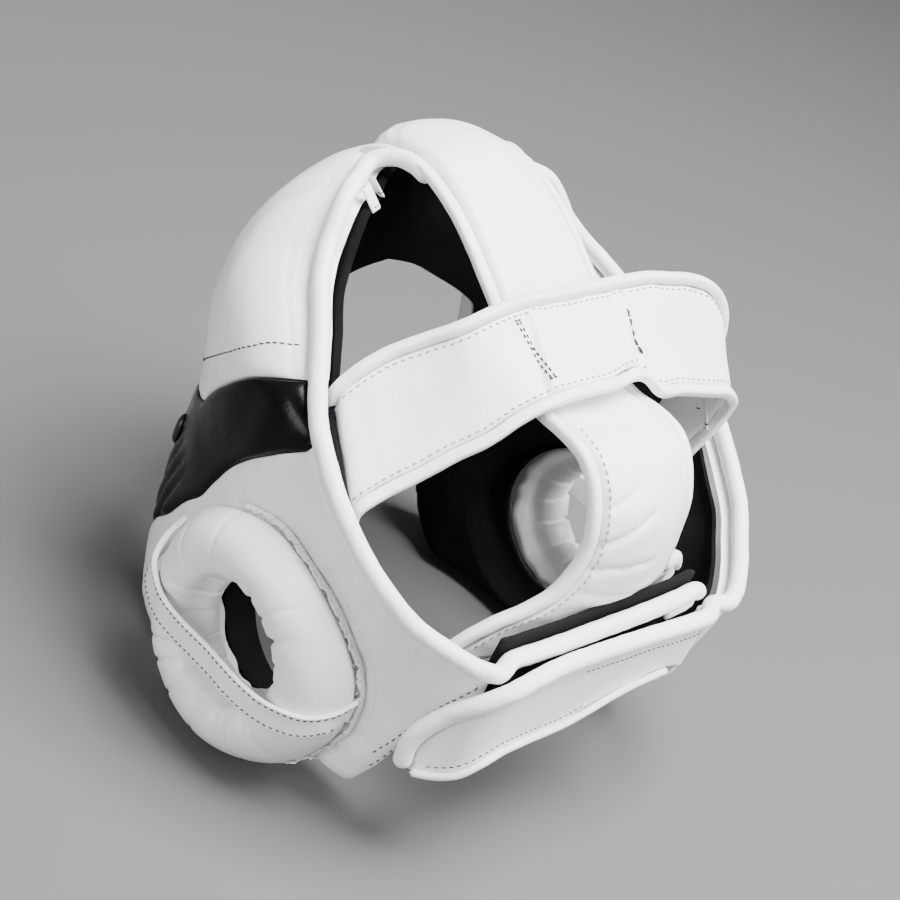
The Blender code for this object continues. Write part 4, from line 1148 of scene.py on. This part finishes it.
# %% [markdown]
# ### The gathered seam of an ear ring
# Where the ring is sewn to the side panel, the leather's raw edge stands up as a narrow crinkled frill. It runs over
# the top and down the back of the ring. A frill is a thin ribbon whose upper edge is longer than its lower one, so it
# waves from side to side.

# %% Frill and its loose threads
FRILL_START, FRILL_STOP = math.radians(128), math.radians(-52)
FRILL_REACH, FRILL_TALL, FRILL_THICK = 46.8, 3.0, 0.7
FRILL_POINTS, TUFTS = 420, 110

for label, side in SIDES:
    _, centre_back, centre_height, _ = EARS[side]
    turns = np.linspace(FRILL_START, FRILL_STOP, FRILL_POINTS)[:, None]
    up = np.linspace(0, 1, 6)[None, :]
    near = ease((FRILL_START - turns) / 0.25) * ease((turns - FRILL_STOP) / 0.2)
    wave = ripple(turns * 31) + 0.5 * ripple(turns * 67 + 1)
    reach = FRILL_REACH + 0.4 + wave * up * 0.9 + 0.8 * ripple(turns * 4)
    tall = FRILL_TALL * near * (0.75 + 0.25 * ripple(turns * 23)) * up - 0.6
    rise = 0.9 + tall
    back = centre_back + reach * np.cos(turns)
    height = centre_height + reach * np.sin(turns)
    across = wall_across(back, height) + rise
    outer = np.stack([side * across, back, height], -1)
    inward = np.stack(np.broadcast_arrays(0 * turns, -np.cos(turns), -np.sin(turns)), -1)
    skin(f"ear_frill_{label}", outer, outer + inward * FRILL_THICK, WHITE_LEATHER)

    tufts = np.linspace(FRILL_START - 0.2, FRILL_STOP + 0.35, TUFTS)
    lean = np.sin(np.arange(TUFTS) * 7.31)
    reach = FRILL_REACH + 1.2 * np.sin(np.arange(TUFTS) * 3.77)
    back, height = centre_back + reach * np.cos(tufts), centre_height + reach * np.sin(tufts)
    places = np.stack([side * (wall_across(back, height) + 2.2), back, height], -1)
    ways = np.stack([side * (0.8 + 0.2 * lean), np.cos(tufts) * lean, np.sin(tufts) * lean], -1)
    normals = np.stack([0 * tufts, np.cos(tufts), np.sin(tufts)], -1)
    beads(f"ear_frill_threads_{label}", places, ways, normals, 2.6, 0.16, WHITE_THREAD)

    seam = np.linspace(math.radians(70), math.radians(-40), 200)
    reach = FRILL_REACH + 3.6
    back, height = centre_back + reach * np.cos(seam), centre_height + reach * np.sin(seam)
    line = np.stack([side * wall_across(back, height), back, height], -1)
    stitch(f"ear_seam_stitches_{label}", f"side_panel_{label}", line, WHITE_THREAD, 1.5, 0.9, 0.2)

# %% [markdown]
# ## Stitching
# The stitch rows are what give the guard away as sewn work. Each one sits a set distance inside a binding or along a
# seam, in its own thread: black on the forehead and at the back, pale along the straps.

# %% Stitch rows
def on_wall(places):
    angle, height = np.array(places, float).T
    run = np.arange(len(angle))
    dense = np.linspace(0, len(angle) - 1, 12 * len(angle))
    line = curve(np.stack([angle, height], -1), run, dense)
    return form_point(line[:, 0], outer_radius(line[:, 0], line[:, 1]), line[:, 1])


FOREHEAD_SEAM = (
    # angle, height
    (38, 94.0), (43, 98.0), (47.5, 103.9), (54.2, 114.4), (59.1, 123.4), (63.0, 131.7), (65.3, 137.5), (67.5, 140.8),
    (68.7, 142.2),
)
REAR_SEAMS = (
    ((126.3, 34.5), (129.7, 46.9), (132.8, 61.0), (135.6, 71.5), (138.2, 79)),
    ((126.9, 27.1), (129.1, 34.2), (130.8, 41.6), (133.6, 53.5), (137, 66)),
)
for label, side in SIDES:
    places = [(side * angle, height) for angle, height in FOREHEAD_SEAM]
    stitch(f"forehead_stitches_{label}", "forehead_panel", on_wall(places), BLACK_THREAD, 2.1, 0.5, 0.3)
    for row, places in enumerate(REAR_SEAMS):
        places = [(side * angle, height) for angle, height in places]
        stitch(f"rear_stitches_{label}_{row}", f"side_panel_{label}", on_wall(places), GREY_THREAD, 1.9, 1.1, 0.27)
stitch("outer_flap_stitches_top", "outer_flap", inset_line(flap_grid, 4.5, True)[8:70], BLACK_THREAD, 1.6, 1.1, 0.24,
       outward=(0, 1, 0))
stitch("outer_flap_stitches_low", "outer_flap", inset_line(flap_grid, 4.0)[60:-6], GREY_THREAD, 1.6, 1.1, 0.24,
       outward=(0.3, 1, 0))
for label, from_last in (("front", False), ("rear", True)):
    stitch(f"cross_band_stitches_{label}", "cross_band", inset_line(band_grid, 2.0, from_last), PALE_THREAD,
           1.9, 1.1, 0.3)
stitch("back_pad_stitches", "back_pad", inset_line(pad_grid, 2.6, True)[26:], PALE_THREAD, 1.9, 1.1, 0.3)


def mark(name, host, one, other, beside_by, length, gap, radius):
    """One row of black stitches straight across a piece, from one point to another."""
    one, other = np.array(one, float), np.array(other, float)
    line = np.linspace(one, other, 60) + np.array((beside_by, 0, 0))
    return stitch(name, host, line, BLACK_THREAD, length, gap, radius)


LEFT_MARK = ((29.3, 15.5, 171.5), (24.3, 36.0, 160.6))
RIGHT_MARK = ((-24.6, 19.5, 173.6), (-26.0, 34.5, 164.0))
for row, shift in (("one", -0.75), ("two", 0.75)):
    mark(f"band_mark_left_{row}", "cross_band", *LEFT_MARK, shift, 1.8, 0.6, 0.34)
for end, place in (("top", LEFT_MARK[0]), ("bottom", LEFT_MARK[1])):
    place = np.array(place)
    line = np.linspace(place - (1.8, 0, 0), place + (1.8, 0, 0), 20)
    stitch(f"band_mark_left_{end}", "cross_band", line, BLACK_THREAD, 1.6, 0.1, 0.34)
mark("band_mark_right", "cross_band", *RIGHT_MARK, 0, 3.4, 0.1, 0.55)
mark("band_mark_right_knot", "cross_band", (-23.2, 22.0, 172.4), (-27.2, 23.0, 171.8), 0, 2.0, 0.2, 0.45)
print("stitch rows laid")

# %% [markdown]
# ## Tape ends and the hook-and-loop strip
# Where a binding ends, its tape is folded back and tacked to the lining with a few black stitches. At the nape, a
# black hook-and-loop strip stands behind the closure, above its inner tab.

# %% Folded tape ends and the black strip
TAPE_ENDS = (
    # name, start, end, half width
    ("crown_front_one", (46.5, -55.5, 181.0), (43.0, -49.5, 174.5), 2.4),
    ("crown_front_two", (40.5, -60.0, 181.5), (36.5, -55.5, 176.0), 2.2),
    ("band_right_one", (-79.0, 30.0, 141.0), (-79.6, 37.0, 130.0), 2.4),
    ("band_right_two", (-79.0, 36.5, 138.0), (-80.0, 43.5, 127.0), 2.4),
)
for name, start, end, half in TAPE_ENDS:
    start, end = np.array(start), np.array(end)
    out = (start + end) / 2 - FORM_MIDDLE
    across = np.cross(end - start, out)
    across = across / np.linalg.norm(across) * half
    rows = [(start + (end - start) * t - across, start + (end - start) * t + across, 1.0) for t in (0, 0.35, 0.7, 1)]
    grid, thick = strip_grid(rows, step=0.6)
    slab(f"tape_end_{name}", grid, thick, WHITE_TAPE, replaces_node=False)
    line = np.linspace(end - across * 0.8 - (end - start) * 0.15, end + across * 0.8 - (end - start) * 0.15, 12)
    towards = np.array(CAMERA_BACK)
    stitch(f"tape_end_{name}_tack", f"tape_end_{name}", line, BLACK_THREAD, 1.3, 0.3, 0.26, outward=towards)

HOOK_FOOT, HOOK_LOW, HOOK_ABOVE_TAB, HOOK_THICKNESS = 41, 0.45, 0.24, 1.6
strip_rows = [(body_point(across, back - 0.042, 0) + (0, 0, HOOK_FOOT + HOOK_LOW * CLOSURE_WIDTH),
               body_point(across, back - 0.040, 0) + (0, 0, HOOK_FOOT + (top + HOOK_ABOVE_TAB) * CLOSURE_WIDTH),
               HOOK_THICKNESS) for across, back, _, top in INNER_TAB_LINE]
grid, thick = strip_grid(strip_rows)
slab("hook_strip", grid, thick, HOOK_CLOTH, replaces_node=False)


# %% [markdown]
# ## The stud
# A small moulded oval sits on each temple, by the face opening. It is a shallow dome that stands on the leather.

# %% Studs
STUD_LENGTH, STUD_WIDTH, STUD_RISE = 13, 8, 4
STUD_ANGLE, STUD_HEIGHT, STUD_FACING = 42.5, 66, math.radians(38)
for label, side in SIDES:
    seat = form_point(side * STUD_ANGLE, outer_radius(STUD_ANGLE, STUD_HEIGHT), STUD_HEIGHT)
    facing = np.array((side * math.sin(STUD_FACING), -math.cos(STUD_FACING), 0))
    across = np.array((math.cos(STUD_FACING), side * math.sin(STUD_FACING), 0))
    centre = seat + facing * (STUD_RISE / 2 - 1.5)
    tip = np.linspace(-np.pi / 2, np.pi / 2, 25)[:, None]
    turn = np.linspace(0, 2 * np.pi, 49)[None, :-1]
    flat = np.sign(np.cos(tip)) * np.abs(np.cos(tip)) ** 0.8
    points = (centre + across * (flat * np.cos(turn) * STUD_WIDTH / 2)[..., None]
              + np.array((0, 0, 1)) * (flat * np.sin(turn) * STUD_LENGTH / 2)[..., None]
              + facing * (np.sin(tip) * STUD_RISE / 2 + 0 * turn)[..., None])
    number = np.arange(points[..., 0].size).reshape(points.shape[:2])
    name = f"temple_badge_{label}"
    make_piece(name, points.reshape(-1, 3), tube_faces(number, ends=False), STUD_BLACK, name)

# %% [markdown]
# ## Floor and light
# A white object needs soft light from one main side, or its form disappears. A large lamp above gives the bright
# top, a weaker one from the right fills the straps, and a dim surround keeps the left side in soft grey.

# %% Floor, lamps and surround
FLOOR_GREY = new_finish("plain_floor", (0.10, 0.10, 0.102), 0.8)
FLOOR_REACH, FLOOR_CORNERS = 6, ((-1, -1), (1, -1), (1, 1), (-1, 1))
floor_mesh = bpy.data.meshes.new("floor")
floor_mesh.from_pydata([(x * FLOOR_REACH, y * FLOOR_REACH, 0) for x, y in FLOOR_CORNERS], [], [range(4)])
floor_mesh.materials.append(FLOOR_GREY)
floor = bpy.data.objects.new("floor", floor_mesh)
bpy.context.scene.collection.objects.link(floor)

LAMPS = (
    # name, place, aimed at, width, watts
    ("lamp_above", (-0.15, 0.25, 1.30), (0, 0, 0.10), 0.8, 78),
    ("lamp_right", (-0.75, 1.05, 0.75), (0, 0, 0.10), 0.6, 26),
    ("lamp_side", (1.10, 0.10, 0.45), (0, 0, 0.08), 0.5, 9),
)
for name, place, aim, width, watts in LAMPS:
    lamp = bpy.data.lights.new(name, "AREA")
    lamp.size, lamp.energy = width, watts
    lamp_object = bpy.data.objects.new(name, lamp)
    lamp_object.location = place
    lamp_object.rotation_mode = "QUATERNION"
    lamp_object.rotation_quaternion = (Vector(aim) - Vector(place)).to_track_quat("-Z", "Y")
    bpy.context.scene.collection.objects.link(lamp_object)

surround = bpy.data.worlds.new("surround")
surround.use_nodes = True
surround.node_tree.nodes["Background"].inputs["Color"].default_value = (0.75, 0.77, 0.80, 1)
surround.node_tree.nodes["Background"].inputs["Strength"].default_value = 0.22
bpy.context.scene.world = surround
